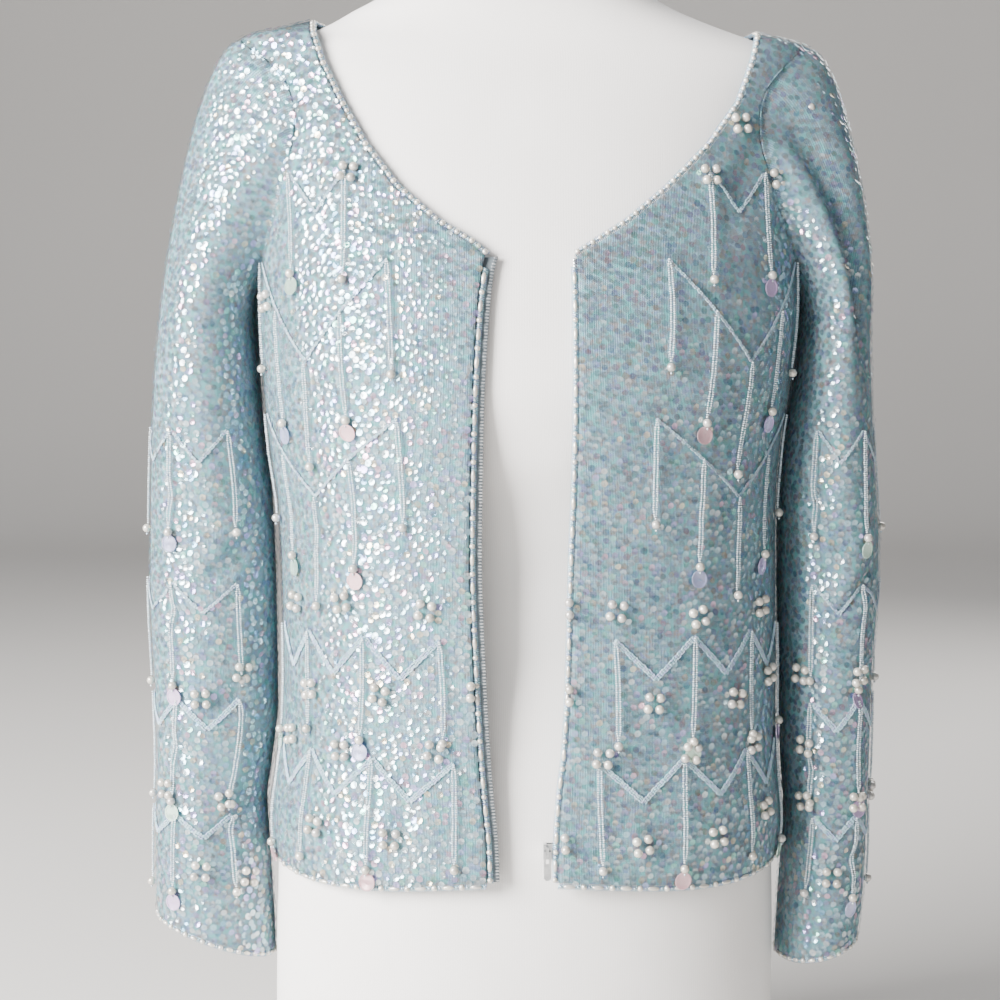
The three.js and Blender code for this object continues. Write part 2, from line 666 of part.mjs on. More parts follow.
// Sleeve rows from the armhole down to the cuff, as outer points
function sleeveGrid(name) {
  const { cuff, cuffLift, lean, fullness, drop } = SLEEVES[name];
  const { side } = SHOULDERS[name];
  const surface = sleeveSurface(name);
  const turns = [
    ...ROW_SHARES.map((share) => Math.PI * share),
    ...ROW_SHARES.slice(1, -1).reverse().map((share) => Math.PI * (2 - share)),
  ];
  const rows = [];
  const frames = turns.map((turn) => armholeFrame(name, turn));
  for (const reach of [ARMHOLE_GAP, ARMHOLE_GAP + SLEEVE_SEAM]) {
    rows.push(frames.map(({ point, onward }) => point.clone().addScaledVector(onward, reach)));
  }
  const seam = rows[1];
  for (let k = 1; k <= CAP_ROWS; k += 1) {
    const t = k / CAP_ROWS;
    rows.push(turns.map((turn, i) => {
      const outside = (1 - Math.cos(turn)) / 2;
      const start = seam[i];
      const end = surface(SLEEVE_START, turn);
      const out = new THREE.Vector3(side, 0, -CAP.tilt * outside);
      const up = new THREE.Vector3(-side * lean * outside, 0, 1);
      const leave = start.clone().addScaledVector(out, CAP.leave + fullness * outside);
      const arrive = end.clone().addScaledVector(up, CAP.arrive + drop * outside);
      const point = new THREE.CubicBezierCurve3(start, leave, arrive, end).getPoint(t);
      const outward = new THREE.Vector3(-side * Math.cos(turn), -Math.sin(turn), 0);
      const fold = k < CAP_ROWS ? foldDepth(name, turn, point.z) : 0;
      return point.addScaledVector(outward, -fold);
    }));
  }
  for (let k = 1; k <= ARM_ROWS; k += 1) {
    const t = k / ARM_ROWS;
    rows.push(turns.map((turn) => {
      const end = cuff + cuffLift * (1 - Math.cos(turn)) / 2;
      return surface(SLEEVE_START + (end - SLEEVE_START) * t, turn);
    }));
  }
  return { rows, frames };
}

// Outward normals of a sleeve's grid from its neighbouring points
function gridNormals(rows, side) {
  return rows.map((row, j) => row.map((_, i) => {
    const columns = row.length;
    const above = rows[Math.max(j - 1, 0)][i];
    const below = rows[Math.min(j + 1, rows.length - 1)][i];
    const next = row[(i + 1) % columns];
    const before = row[(i + columns - 1) % columns];
    const down = below.clone().sub(above);
    const round = next.clone().sub(before);
    return down.cross(round).normalize().multiplyScalar(side);
  }));
}

function sleeveParts(name) {
  const { rows, frames } = sleeveGrid(name);
  const normals = gridNormals(rows, SHOULDERS[name].side);
  frames.forEach(({ normal }, i) => {
    normals[0][i].copy(normal);
  });
  const inner = rows.map((row, j) => row.map(
    (point, i) => point.clone().addScaledVector(normals[j][i], -WALL),
  ));
  return { geometry: wallBody(rows, inner, true), rows, normals };
}

// Square edging along a border: points with their normals and their directions away from the cloth
function edgingBody(points, normals, outwards, closed = false) {
  const near = CURVED_GAP;
  const far = CURVED_GAP + EDGING_WIDTH;
  return sweptBody(points.map((point, i) => {
    const corner = (out, rise) => point.clone()
      .addScaledVector(outwards[i], out)
      .addScaledVector(normals[i], rise);
    return [
      corner(near, EDGING_RISE), corner(near, -EDGING_DEPTH),
      corner(far, -EDGING_DEPTH), corner(far, EDGING_RISE),
    ];
  }), closed);
}

// Directions away from the cloth along a border, mitred at its corners and along the seam at its ends.
// Each point of the border has a neighbour that lies inside the panel.
function outwardsOf(points, normals, neighbours) {
  const sideways = (a, b, normal, neighbour) => {
    const across = b.clone().sub(a).cross(normal).normalize();
    const middle = a.clone().add(b).multiplyScalar(0.5);
    return across.dot(neighbour.clone().sub(middle)) > 0 ? across.negate() : across;
  };
  return points.map((point, i) => {
    if (i === 0 || i === points.length - 1) {
      return point.clone().sub(neighbours[i]).projectOnPlane(normals[i]).normalize();
    }
    const before = sideways(points[i - 1], point, normals[i], neighbours[i]);
    const after = sideways(point, points[i + 1], normals[i], neighbours[i]);
    const mean = before.clone().add(after).normalize();
    return mean.divideScalar(Math.max(mean.dot(before), MITRE_LIMIT));
  });
}

function borderEdging(places, insidePlaces) {
  const points = places.map((place) => onBody(place));
  const normals = places.map(({ height, angle }) => normalOf(bodySurface, height, angle));
  const neighbours = insidePlaces.map((place) => onBody(place));
  const outwards = outwardsOf(points, normals, neighbours);
  points[0].lerp(points[1], SEAM_GAP / 2 / points[0].distanceTo(points[1]));
  points.at(-1).lerp(points.at(-2), SEAM_GAP / 2 / points.at(-1).distanceTo(points.at(-2)));
  return edgingBody(points, normals, outwards);
}

// The zip tape behind a front edge, laid flat against the panel's inside
function tapeBody(grid, reach, drop) {
  return sweptBody(grid.slice(0, ROWS_BELOW + 1).map(([edge, next]) => {
    const point = onBody(edge);
    const inward = onBody(next).sub(point).normalize();
    const normal = normalOf(bodySurface, edge.height, edge.angle);
    const corner = (across, depth) => point.clone()
      .addScaledVector(inward, across)
      .addScaledVector(normal, -depth);
    const inner = drop + TAPE_WALL;
    return [
      corner(TAPE_COVERED, drop), corner(-reach, drop),
      corner(-reach, inner), corner(TAPE_COVERED, inner),
    ];
  }));
}

// Manifold solids of plain geometries, and back
const wasm = await Module();
wasm.setup();
function solidOf(geometry) {
  const bare = new THREE.BufferGeometry();
  bare.setAttribute("position", geometry.getAttribute("position"));
  if (geometry.index) bare.setIndex(geometry.index);
  const merged = mergeVertices(bare, WELD);
  const count = merged.getAttribute("position").count;
  const index = merged.index ?? { array: Array.from({ length: count }, (_, i) => i) };
  return new wasm.Manifold(new wasm.Mesh({
    numProp: 3,
    vertProperties: new Float32Array(merged.getAttribute("position").array),
    triVerts: new Uint32Array(index.array),
  }));
}

function geometryOf(solid) {
  const mesh = solid.getMesh();
  const geometry = new THREE.BufferGeometry();
  geometry.setAttribute("position", new THREE.BufferAttribute(mesh.vertProperties, mesh.numProp));
  geometry.setIndex(new THREE.BufferAttribute(mesh.triVerts, 1));
  return geometry;
}

// Three-sided thread through stations, each a surface point with its normal and its own section
function threadBody(stations) {
  return sweptBody(stations.map(({ point, normal, halfWidth, low, high }, i) => {
    const before = stations[Math.max(i - 1, 0)].point;
    const after = stations[Math.min(i + 1, stations.length - 1)].point;
    const across = after.clone().sub(before).cross(normal).normalize();
    return [
      point.clone().addScaledVector(normal, low).addScaledVector(across, -halfWidth),
      point.clone().addScaledVector(normal, low).addScaledVector(across, halfWidth),
      point.clone().addScaledVector(normal, high),
    ];
  }));
}

// A loop of beads that hangs from its root and ends in a pearl, or in a round paillette
function loopBody(root, frameAt, length, end) {
  const station = (down, section) => ({ ...frameAt(root.angle, root.height - down), ...section });
  return threadBody([
    station(0, LOOP),
    station(length / 2, LOOP),
    station(length, LOOP),
    station(length + end.halfWidth, end),
    station(length + end.halfWidth * 2, LOOP_TIP),
  ]);
}

// One stitched line with its hanging loops, as one body. frameAt gives a surface point and its normal.
function fringeBody({ corners, roots }, frameAt, step, loopLength = LOOP.length) {
  const stations = [];
  for (let k = 0; k < corners.length - 1; k += 1) {
    const from = corners[k];
    const to = corners[k + 1];
    const length = frameAt(from.angle, from.height).point.distanceTo(frameAt(to.angle, to.height).point);
    const pieces = Math.max(1, Math.round(length / step));
    for (let i = 0; i < pieces; i += 1) {
      const t = i / pieces;
      const angle = from.angle + (to.angle - from.angle) * t;
      const height = from.height + (to.height - from.height) * t;
      stations.push({ ...frameAt(angle, height), ...STITCH });
    }
  }
  stations.push({ ...frameAt(corners.at(-1).angle, corners.at(-1).height), ...STITCH });
  let solid = solidOf(threadBody(stations));
  roots.forEach((root, i) => {
    const end = i % 2 === 1 ? PAILLETTE : PEARL;
    solid = solid.add(solidOf(loopBody(root, frameAt, loopLength, end)));
  });
  return geometryOf(solid);
}

// Corners and loop roots of a zigzag between two shares of a panel's width
function zigzag({ height, rise, from, to, waves, loops }, angleAt) {
  const steps = Math.round(waves * 2);
  const corner = (k) => ({
    share: from + (to - from) * k / steps,
    height: height + (k % 2 === 0 ? 0 : rise),
  });
  const corners = Array.from({ length: steps + 1 }, (_, k) => corner(k));
  const roots = [];
  corners.forEach((point, k) => {
    const peak = k % 2 === 0;
    if (peak || loops !== "peaks") roots.push(point);
    if (loops === "all" && k < steps) {
      roots.push({
        share: (point.share + corners[k + 1].share) / 2,
        height: (point.height + corners[k + 1].height) / 2,
      });
    }
  });
  const placed = (point) => ({ height: point.height, angle: angleAt(point.share, point.height) });
  return { corners: corners.map(placed), roots: roots.map(placed) };
}

// Column share across a panel at a height, as an angle round the body
const frontAngle = (name) => (share, height) => {
  const { side } = SHOULDERS[name];
  const from = quarterAngle(height, side, "front", "x", FRONT_FRINGE_START);
  return roundAngle(side, "front", from * (1 - share));
};
const backAngle = (share) => -Math.PI * share;
const sleeveTurn = (share) => THREE.MathUtils.degToRad(
  SLEEVE_ZIGZAG_ENDS.from + (SLEEVE_ZIGZAG_ENDS.to - SLEEVE_ZIGZAG_ENDS.from) * share);
const bodyFrame = (angle, height) => ({
  point: bodySurface(height, angle),
  normal: normalOf(bodySurface, height, angle),
});
const sleeveFrame = (name) => {
  const surface = sleeveSurface(name);
  return (turn, height) => {
    const normal = normalOf(surface, height, turn);
    const outward = new THREE.Vector3(-SHOULDERS[name].side * Math.cos(turn), -Math.sin(turn), 0);
    return { point: surface(height, turn), normal: normal.dot(outward) < 0 ? normal.negate() : normal };
  };
};

// The dress form, closed above and below by flat faces
function formBody() {
  const surface = ringSurface(FORM_RINGS, FORM_ROUNDNESS);
  return sweptBody(FORM_RINGS.map(({ height }) => Array.from(
    { length: FORM_COLUMNS },
    (_, i) => surface(height, 2 * Math.PI * i / FORM_COLUMNS),
  )));
}

// Zip slider: two plates and a spine round the tape's edge, with the crown that holds the pull
const block = (width, deep, tall, x, y, z) => new THREE.BoxGeometry(width, deep, tall).translate(x, y, z);

function zipParts() {
  const edge = columnCurve(FRONT_EDGE, "left")(SLIDER.height) + EDGING_WIDTH + SEAM_GAP;
  const angle = roundAngle(1, "front", quarterAngle(SLIDER.height, 1, "front", "x", edge));
  const cloth = bodySurface(SLIDER.height, angle).y;
  const tapeFace = cloth + LEFT_TAPE_DROP;
  const left = edge - EDGING_WIDTH - SEAM_GAP - SLIDER_SHOWING;
  const middle = left + SLIDER.width / 2;
  const slotMiddle = tapeFace + TAPE_WALL / 2 + SLIDER.play;
  const frontPlate = slotMiddle - SLIDER.slot / 2 - SLIDER.plate / 2;
  const backPlate = slotMiddle + SLIDER.slot / 2 + SLIDER.plate / 2;
  const crownX = left + PULL.width / 2 + PULL.play;
  const face = frontPlate - SLIDER.plate / 2;
  const barY = face - CROWN.clear - CROWN.bar / 2;
  const legOffset = (CROWN.tall - CROWN.leg) / 2;
  let slider = solidOf(block(SLIDER.width, SLIDER.plate, SLIDER.tall, middle, frontPlate, SLIDER.height));
  const more = [
    block(SLIDER.width, SLIDER.plate, SLIDER.tall, middle, backPlate, SLIDER.height),
    block(SLIDER.spine, SLIDER.slot + SLIDER.joint, SLIDER.tall,
      left + SLIDER.spine / 2, slotMiddle, SLIDER.height),
    block(CROWN.width, CROWN.bar, CROWN.tall, crownX, barY, SLIDER.height),
  ];
  for (const up of [-1, 1]) {
    more.push(block(CROWN.width, CROWN.clear + CROWN.bar / 2 + SLIDER.joint, CROWN.leg, crownX,
      face - (CROWN.clear + CROWN.bar / 2) / 2 + SLIDER.joint / 2, SLIDER.height + up * legOffset));
  }
  for (const piece of more) slider = slider.add(solidOf(piece));

  const pinY = face - CROWN.clear / 2;
  const pinZ = SLIDER.height;
  const outline = new THREE.Shape([
    new THREE.Vector2(-PULL.width / 2, PULL.pin / 2),
    new THREE.Vector2(-PULL.width / 2, -PULL.length + PULL.corner),
    new THREE.Vector2(-PULL.width / 2 + PULL.corner, -PULL.length),
    new THREE.Vector2(PULL.width / 2 - PULL.corner, -PULL.length),
    new THREE.Vector2(PULL.width / 2, -PULL.length + PULL.corner),
    new THREE.Vector2(PULL.width / 2, PULL.pin / 2),
  ]);
  const windowWidth = PULL.width - 2 * PULL.rim;
  const windowTop = -PULL.pin / 2;
  outline.holes.push(new THREE.Path([
    new THREE.Vector2(-windowWidth / 2, windowTop),
    new THREE.Vector2(windowWidth / 2, windowTop),
    new THREE.Vector2(windowWidth / 2, windowTop - CROWN.tall),
    new THREE.Vector2(-windowWidth / 2, windowTop - CROWN.tall),
  ]));
  const pull = new THREE.ExtrudeGeometry(outline, { depth: PULL.wall, bevelEnabled: false, steps: 1 });
  pull.translate(0, 0, -PULL.wall / 2).rotateX(Math.PI / 2).translate(crownX, pinY, pinZ);
  return { slider: geometryOf(slider), pull: geometryOf(solidOf(pull)) };
}

// Finishes
const finish = (color, roughness, metalness = 0) => ({ color, roughness, metalness });
const FINISHES = {
  knit: finish(0xbcd6de, 0.55),
  edging: finish(0xe9e6dc, 0.3),
  fringe: finish(0xdfe9ee, 0.35),
  tape: finish(0x2b2f33, 0.8),
  metal: finish(0xc9ccd0, 0.3, 1),
  jersey: finish(0xebe6df, 0.85),
};

const cardigan = new THREE.Group();
function addPiece(name, geometry, look) {
  const mesh = new THREE.Mesh(geometry, new THREE.MeshStandardMaterial(FINISHES[look]));
  mesh.name = name;
  cardigan.add(mesh);
}

addPiece("form_torso", formBody(), "jersey");

const back = backGrid();
addPiece("back", panelWall(back), "knit");
addPiece("edging_back_hem", borderEdging(back[0], back[1]), "edging");
const topRow = back.at(-1);
const neckEnd = BACK_COLUMNS - SEAM_COLUMNS;
const neckInside = [
  topRow[SEAM_COLUMNS - 1],
  ...back.at(-2).slice(SEAM_COLUMNS + 1, neckEnd),
  topRow[neckEnd + 1],
];
addPiece("edging_back_neck", borderEdging(topRow.slice(SEAM_COLUMNS, neckEnd + 1), neckInside), "edging");
for (const row of BACK_ZIGZAGS) {
  addPiece("fringe_back_" + row.name, fringeBody(zigzag(row, backAngle), bodyFrame, BODY_STEP), "fringe");
}

for (const name of ["left", "right"]) {
  const grid = frontGrid(name);
  addPiece("front_" + name, panelWall(grid), "knit");
  const border = [...grid[0].toReversed(), ...grid.slice(1).map((row) => row[0])];
  const within = [...grid[1].slice(1).toReversed(), grid[1][1], ...grid.slice(1).map((row) => row[1])];
  addPiece("edging_front_" + name, borderEdging(border, within), "edging");
  for (const row of FRONT_ZIGZAGS) {
    const line = zigzag(row, frontAngle(name));
    addPiece("fringe_front_" + name + "_" + row.name, fringeBody(line, bodyFrame, BODY_STEP), "fringe");
  }
  const reach = name === "left" ? LEFT_TAPE_REACH : RIGHT_TAPE_REACH;
  const drop = name === "left" ? LEFT_TAPE_DROP : RIGHT_TAPE_DROP;
  addPiece("zip_tape_" + name, tapeBody(grid, reach, drop), "tape");

  const { geometry, rows, normals } = sleeveParts(name);
  addPiece("sleeve_" + name, geometry, "knit");
  const cuff = rows.at(-1);
  const cuffNormals = normals.at(-1);
  const down = cuff.map((point, i) => point.clone().sub(rows.at(-2)[i]).normalize());
  addPiece("edging_cuff_" + name, edgingBody(cuff, cuffNormals, down, true), "edging");
  for (const row of SLEEVE_ZIGZAGS) {
    const line = zigzag({ ...row, from: 0, to: 1, loops: "peaks" }, sleeveTurn);
    addPiece("fringe_sleeve_" + name + "_" + row.name,
      fringeBody(line, sleeveFrame(name), SLEEVE_STEP, row.loop), "fringe");
  }
}

const { slider, pull } = zipParts();
addPiece("zip_slider", slider, "metal");
addPiece("zip_pull", pull, "metal");

export default cardigan;
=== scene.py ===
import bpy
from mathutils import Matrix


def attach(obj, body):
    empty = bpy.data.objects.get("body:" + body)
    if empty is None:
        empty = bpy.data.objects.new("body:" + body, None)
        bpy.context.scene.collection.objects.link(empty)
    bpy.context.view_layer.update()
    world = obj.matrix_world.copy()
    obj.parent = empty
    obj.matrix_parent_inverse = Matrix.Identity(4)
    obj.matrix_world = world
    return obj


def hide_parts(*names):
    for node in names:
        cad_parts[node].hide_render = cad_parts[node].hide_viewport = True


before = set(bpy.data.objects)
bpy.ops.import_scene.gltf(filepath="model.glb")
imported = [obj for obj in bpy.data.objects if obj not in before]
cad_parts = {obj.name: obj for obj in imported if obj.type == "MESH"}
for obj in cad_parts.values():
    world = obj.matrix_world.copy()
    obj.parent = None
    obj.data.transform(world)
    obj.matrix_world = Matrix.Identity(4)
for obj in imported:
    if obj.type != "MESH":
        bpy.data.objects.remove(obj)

"""Sequin cardigan with bead loops, worn open by a limbless dress form.

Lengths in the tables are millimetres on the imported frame: +Z is up, the fronts face -Y and the
wearer's left is +X. Meshes are written in metres.
"""

import logging
from dataclasses import dataclass, field
from enum import Enum
from typing import Callable, Optional, Protocol, Sequence

import bpy
import numpy as np
from mathutils import Vector
from mathutils.kdtree import KDTree

LOG = logging.getLogger("cardigan")
Array = np.ndarray
Piece, Material = bpy.types.Object, bpy.types.Material
Tree, Node, Socket = bpy.types.NodeTree, bpy.types.Node, bpy.types.NodeSocket
MM = 0.001
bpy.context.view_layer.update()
BODY = "cardigan"

# Cut of the cardigan, as in the solids
HEM, HEM_LIFT, FRONT_CORNER, UNDERARM, SLEEVE_START = 179.0, 6.5, 558.0, 531.0, 515.0
SEAM_HALF, EDGE_REACH, ARMHOLE_GAP = 0.24, 3.4, 0.85
BACK_NECK_DEPTH, SHOULDER_CROWDING, HOLLOW_REACH = 78.0, 1.4, 170.0
# Walls of the knit and of the zip tape, and the edging's middle line beyond and below the cloth's edge
KNIT_WALL, TAPE_WALL, EDGING_OUT, EDGING_BELOW = 1.5, 0.7, 2.1, 0.4
# Half steps over which slopes are measured: up in millimetres, round in radians
PLAIN_UP, PLAIN_ROUND, CREASED_UP, CREASED_ROUND = 0.3, 0.003, 0.5, 0.004
SLEEVE_ROUND, SLEEVE_CREASED_ROUND = 0.004, 0.006
# Rounds of the searches by halving and by nearing
HALVINGS, NEARINGS = 40, 25

# Rings of a body: height, left and right half widths, front and back depths
BODY_RINGS = (
    (170, 162, 161, 116.5, 117.5), (185, 164, 162, 116, 117), (205, 165.5, 162.6, 115, 115),
    (235, 163, 158.8, 114, 113), (262, 161.3, 155.2, 112.5, 109), (300, 161, 153.5, 112, 104),
    (350, 160, 154, 112.5, 99), (400, 159.5, 156, 114, 96), (440, 162, 161.5, 117, 95),
    (480, 168, 165, 119, 96), (531, 173, 168, 111, 98), (563, 172.5, 168, 103, 99.5),
    (600, 171.5, 169, 89.5, 99), (640, 173, 172, 73, 91.5), (662, 177, 176.5, 63, 81),
    (676, 179.5, 180.5, 56.5, 73), (684, 178.5, 182, 52.5, 68.5), (688, 175.5, 181.5, 51, 66),
    (691, 166, 179.5, 49.5, 64), (694, 153, 175, 48.5, 62), (698, 142, 161, 47, 60),
    (702, 131, 146, 46, 58), (706, 120, 129, 45, 56),
)
# Distance of the front edge and of the neck from the centre line at a height: left, right
FRONT_EDGE = (
    (170, 15.6, 19.6), (203, 16.3, 20.5), (237, 18.2, 23.6), (260, 21, 25.4), (300, 23.2, 27.7),
    (378, 25.1, 30.4), (430, 26.8, 29.7), (470, 27.3, 28.7), (508, 27.2, 26.8), (535, 26.9, 24.6),
    (558, 26.2, 20.8),
)
FRONT_NECK = (
    (558, 26.2, 20.8), (565, 39.5, 31), (577, 58.5, 51), (598, 83.5, 75.5), (624, 109.3, 95.3),
    (650, 128, 110), (676, 137.7, 122.6), (695, 142.5, 129),
)
FORM_RINGS = (
    (0, 154, 154, 89, 94), (3, 157, 157, 92, 97), (60, 160, 160.5, 98, 106), (120, 160.5, 160, 104, 112),
    (180, 159.5, 158, 105, 110.5), (235, 155, 152, 101, 100), (275, 142, 141, 94, 84),
    (325, 127, 127, 85, 68), (365, 128, 128, 84, 70), (403, 136, 136, 90, 75), (440, 148, 147, 104, 81),
    (480, 160, 158, 112.5, 87), (531, 166, 163, 104.5, 91.5), (563, 166, 163.5, 96.5, 93),
    (600, 165, 164.5, 83.5, 92.5), (640, 166.5, 167, 67.5, 85.5), (660, 169.5, 171, 58, 76),
    (672, 172, 174.5, 52, 69), (680, 169.5, 174, 48, 64), (685, 161.5, 170, 46, 61),
    (689, 151, 162, 44.5, 58), (693.5, 138, 144.5, 43.5, 56), (698, 125, 130.5, 43.5, 54.5),
    (703, 111.5, 119.5, 43.5, 53.5), (709, 97, 109, 44, 52.5), (715, 85.5, 97, 45, 51.5),
    (723, 76, 83, 46.5, 51), (736, 63, 68, 49, 50), (752, 56, 60, 51, 50), (785, 53, 56, 52, 50),
    (790, 50, 53, 49, 47),
)


class Side(Enum):
    """The wearer's side. The value is its sign along X."""

    LEFT = 1
    RIGHT = -1

    @property
    def word(self) -> str:
        """The side's name in node names."""
        return self.name.lower()


class Facing(Enum):
    """Front or back half of the body."""

    FRONT = "front"
    BACK = "back"


@dataclass(frozen=True)
class Shoulder:
    """Heights of a shoulder seam's two ends."""

    neck: float
    tip: float


SHOULDERS = {Side.LEFT: Shoulder(696.3, 689.5), Side.RIGHT: Shoulder(704.6, 693.5)}
ARMHOLE_DEPTH = {Facing.FRONT: 50.0, Facing.BACK: 54.0}


class SmoothCurve:
    """Smooth curve through values at rising places, without overshoot."""

    def __init__(self, at: Sequence[float], values: Sequence[float]) -> None:
        """Works out the slopes.

        Args:
            at: Rising places.
            values: The curve's value at each place.
        """
        self.at = np.asarray(at, float)
        self.values = np.asarray(values, float)
        rate = np.diff(self.values) / np.diff(self.at)
        before, after = rate[:-1], rate[1:]
        total = np.where(before + after == 0, 1.0, before + after)
        inner = np.where(before * after > 0, 2 * before * after / total, 0.0)
        self.slopes = np.concatenate([[rate[0]], inner, [rate[-1]]])

    def __call__(self, place: Array) -> Array:
        """The value at each place."""
        place = np.clip(place, self.at[0], self.at[-1])
        i = np.clip(np.searchsorted(self.at, place, side="right") - 1, 0, len(self.at) - 2)
        span = self.at[i + 1] - self.at[i]
        t = (place - self.at[i]) / span
        return ((2 * t**3 - 3 * t**2 + 1) * self.values[i] + (t**3 - 2 * t**2 + t) * span * self.slopes[i]
                + (3 * t**2 - 2 * t**3) * self.values[i + 1] + (t**3 - t**2) * span * self.slopes[i + 1])


def unit(vectors: Array) -> Array:
    """Vectors scaled to length 1."""
    return vectors / np.maximum(np.linalg.norm(vectors, axis=-1, keepdims=True), 1e-9)


@dataclass(frozen=True)
class Crease:
    """A soft trough along a short path; a negative depth makes a ridge."""

    path: Array
    width: float
    depth: float

    # Power of the fading towards the ends, height of the banks beside the trough and their spread
    TAPER, BANK, BANK_SPREAD = 0.7, 0.4, 5

    def inward(self, points: Array) -> Array:
        """How far each point sinks.

        Args:
            points: Points in millimetres.

        Returns:
            Depths, with low banks beside the trough.
        """
        path = self.path.astype(float)
        lengths = np.linalg.norm(np.diff(path, axis=0), axis=1)
        best = np.full(points.shape[:-1], np.inf)
        along = np.zeros(points.shape[:-1])
        done = 0.0
        for start, end, length in zip(path[:-1], path[1:], lengths):
            t = np.clip(((points - start) @ (end - start)) / length**2, 0, 1)
            away = np.linalg.norm(points - (start + t[..., None] * (end - start)), axis=-1)
            closer = away < best
            along = np.where(closer, (done + t * length) / lengths.sum(), along)
            best = np.where(closer, away, best)
            done += length
        taper = np.sin(np.pi * along) ** self.TAPER
        share = (best / self.width) ** 2
        trough = np.exp(-share) - self.BANK * np.exp(-share / self.BANK_SPREAD)
        return self.depth * taper * trough / (1 - self.BANK)


def sink(points: Array, normals: Array, creases: Sequence[Crease]) -> Array:
    """Points moved into the cloth's creases."""
    total = np.zeros(points.shape[:-1])
    for crease in creases:
        total += crease.inward(points)
    return points - normals * total[..., None]


def crease_rows(*rows: Sequence[float]) -> tuple[Crease, ...]:
    """Creases from rows of three points, a width and a depth."""
    return tuple(Crease(np.reshape(row[:9], (3, 3)), row[9], row[10]) for row in rows)


class Surface(Protocol):
    """Cloth that beadwork can be sewn on."""

    def frame(self, height: Array, angle: Array, rise: float = 0.0) -> tuple[Array, Array]:
        """Points at heights and angles, moved out, and their outward directions."""


def ring_curves(rows: Sequence[Sequence[float]]) -> list:
    """A smooth curve over the height for each measure in a table of rings."""
    table = np.array(rows, float)
    return [SmoothCurve(table[:, 0], table[:, k]) for k in range(1, table.shape[1])]


def crossed_slopes(surface: Callable, height: Array, angle: Array, up: float, around: float) -> Array:
    """Cross product of a surface's slopes, over half steps up and round."""
    rise = surface(height + up, angle) - surface(height - up, angle)
    run = surface(height, angle + around) - surface(height, angle - around)
    return np.cross(rise, run)


class Skin:
    """Surface of horizontal rings. Angle 0 is the wearer's left side, a quarter turn the front."""

    def __init__(self, rows: Sequence[Sequence[float]], roundness: float,
                 creases: Sequence[Crease] = ()) -> None:
        """Reads the rings.

        Args:
            rows: Height, left and right half widths, front and back depths.
            roundness: Power of the ring's outline; 2 is an ellipse.
            creases: Troughs in the cloth.
        """
        self.left, self.right, self.front, self.back = ring_curves(rows)
        self.roundness, self.creases = roundness, creases

    def point(self, height: Array, angle: Array) -> Array:
        """Points of the plain surface."""
        height, angle = np.broadcast_arrays(np.asarray(height, float), np.asarray(angle, float))
        across, along = np.cos(angle), np.sin(angle)
        power = self.roundness
        reach = (np.abs(across) ** power + np.abs(along) ** power) ** (-1 / power)
        half = np.where(across > 0, self.left(height), self.right(height))
        depth = np.where(along > 0, self.front(height), self.back(height))
        return np.stack([half * across * reach, -depth * along * reach, height], -1)

    def plain_normal(self, height: Array, angle: Array) -> Array:
        """Outward directions of the plain surface."""
        return unit(crossed_slopes(self.point, height, angle, PLAIN_UP, PLAIN_ROUND))

    def creased(self, height: Array, angle: Array) -> Array:
        """Points of the surface with its creases."""
        return sink(self.point(height, angle), self.plain_normal(height, angle), self.creases)

    def frame(self, height: Array, angle: Array, rise: float = 0.0) -> tuple[Array, Array]:
        """Points of the creased surface, moved out, and their outward directions."""
        height, angle = np.broadcast_arrays(np.asarray(height, float), np.asarray(angle, float))
        normal = unit(crossed_slopes(self.creased, height, angle, CREASED_UP, CREASED_ROUND))
        return self.creased(height, angle) + normal * rise, normal


BODY_CREASES = crease_rows(
    (168, -62, 505, 128, -98, 486, 92, -116, 474, 7, 2.6),
    (166, -50, 478, 136, -88, 456, 112, -104, 446, 6, 1.9),
    (-164, -58, 508, -130, -95, 492, -96, -114, 482, 7, 2.4),
    (-160, -58, 470, -132, -88, 447, -104, -104, 432, 6, 2),
    (152, -62, 420, 120, -96, 402, 74, -110, 398, 8, 1.9),
    (-152, -52, 402, -118, -92, 386, -78, -106, 384, 8, 1.7),
    (156, -40, 372, 126, -88, 352, 96, -104, 350, 7, 1.8),
    (-150, -46, 352, -122, -86, 338, -88, -102, 336, 7, 1.6),
    (122, -98, 300, 126, -94, 240, 132, -90, 190, 8, 2.2),
    (76, -110, 268, 80, -108, 218, 86, -108, 184, 8, 1.7),
    (-70, -110, 262, -76, -110, 214, -80, -108, 182, 8, 1.8),
    (-118, -94, 296, -124, -92, 236, -128, -90, 186, 8, 2.3),
    (146, -40, 640, 132, -66, 600, 116, -86, 560, 9, 1.8),
    (-146, -38, 650, -134, -62, 612, -120, -84, 566, 9, 1.8),
    (160, 52, 520, 128, 80, 498, 84, 92, 486, 8, 2.6), (-158, 52, 516, -122, 82, 500, -80, 92, 482, 8, 2.4),
    (138, 66, 420, 84, 88, 402, 18, 94, 398, 9, 2.6), (-140, 60, 404, -96, 84, 384, -36, 94, 378, 9, 2.4),
    (120, 74, 366, 60, 94, 350, -20, 98, 352, 8, 2), (96, 96, 300, 104, 98, 240, 112, 98, 186, 9, 2.6),
    (20, 110, 280, 24, 112, 226, 28, 116, 184, 9, 2.2), (-62, 104, 290, -70, 108, 232, -78, 110, 184, 9, 2.5),
    (-118, 84, 286, -126, 88, 230, -134, 88, 186, 8, 2.2), (120, 66, 640, 70, 88, 632, 30, 92, 640, 9, 1.5),
)
BODY_SKIN = Skin(BODY_RINGS, 2.25, BODY_CREASES)
FORM_SKIN = Skin(FORM_RINGS, 2.2)


def round_angle(side: Side, facing: Facing, from_side: Array) -> Array:
    """Full angle of a place this far round from the side towards the centre."""
    left = from_side if facing is Facing.FRONT else -from_side
    return left if side is Side.LEFT else (np.pi if facing is Facing.FRONT else -np.pi) - left


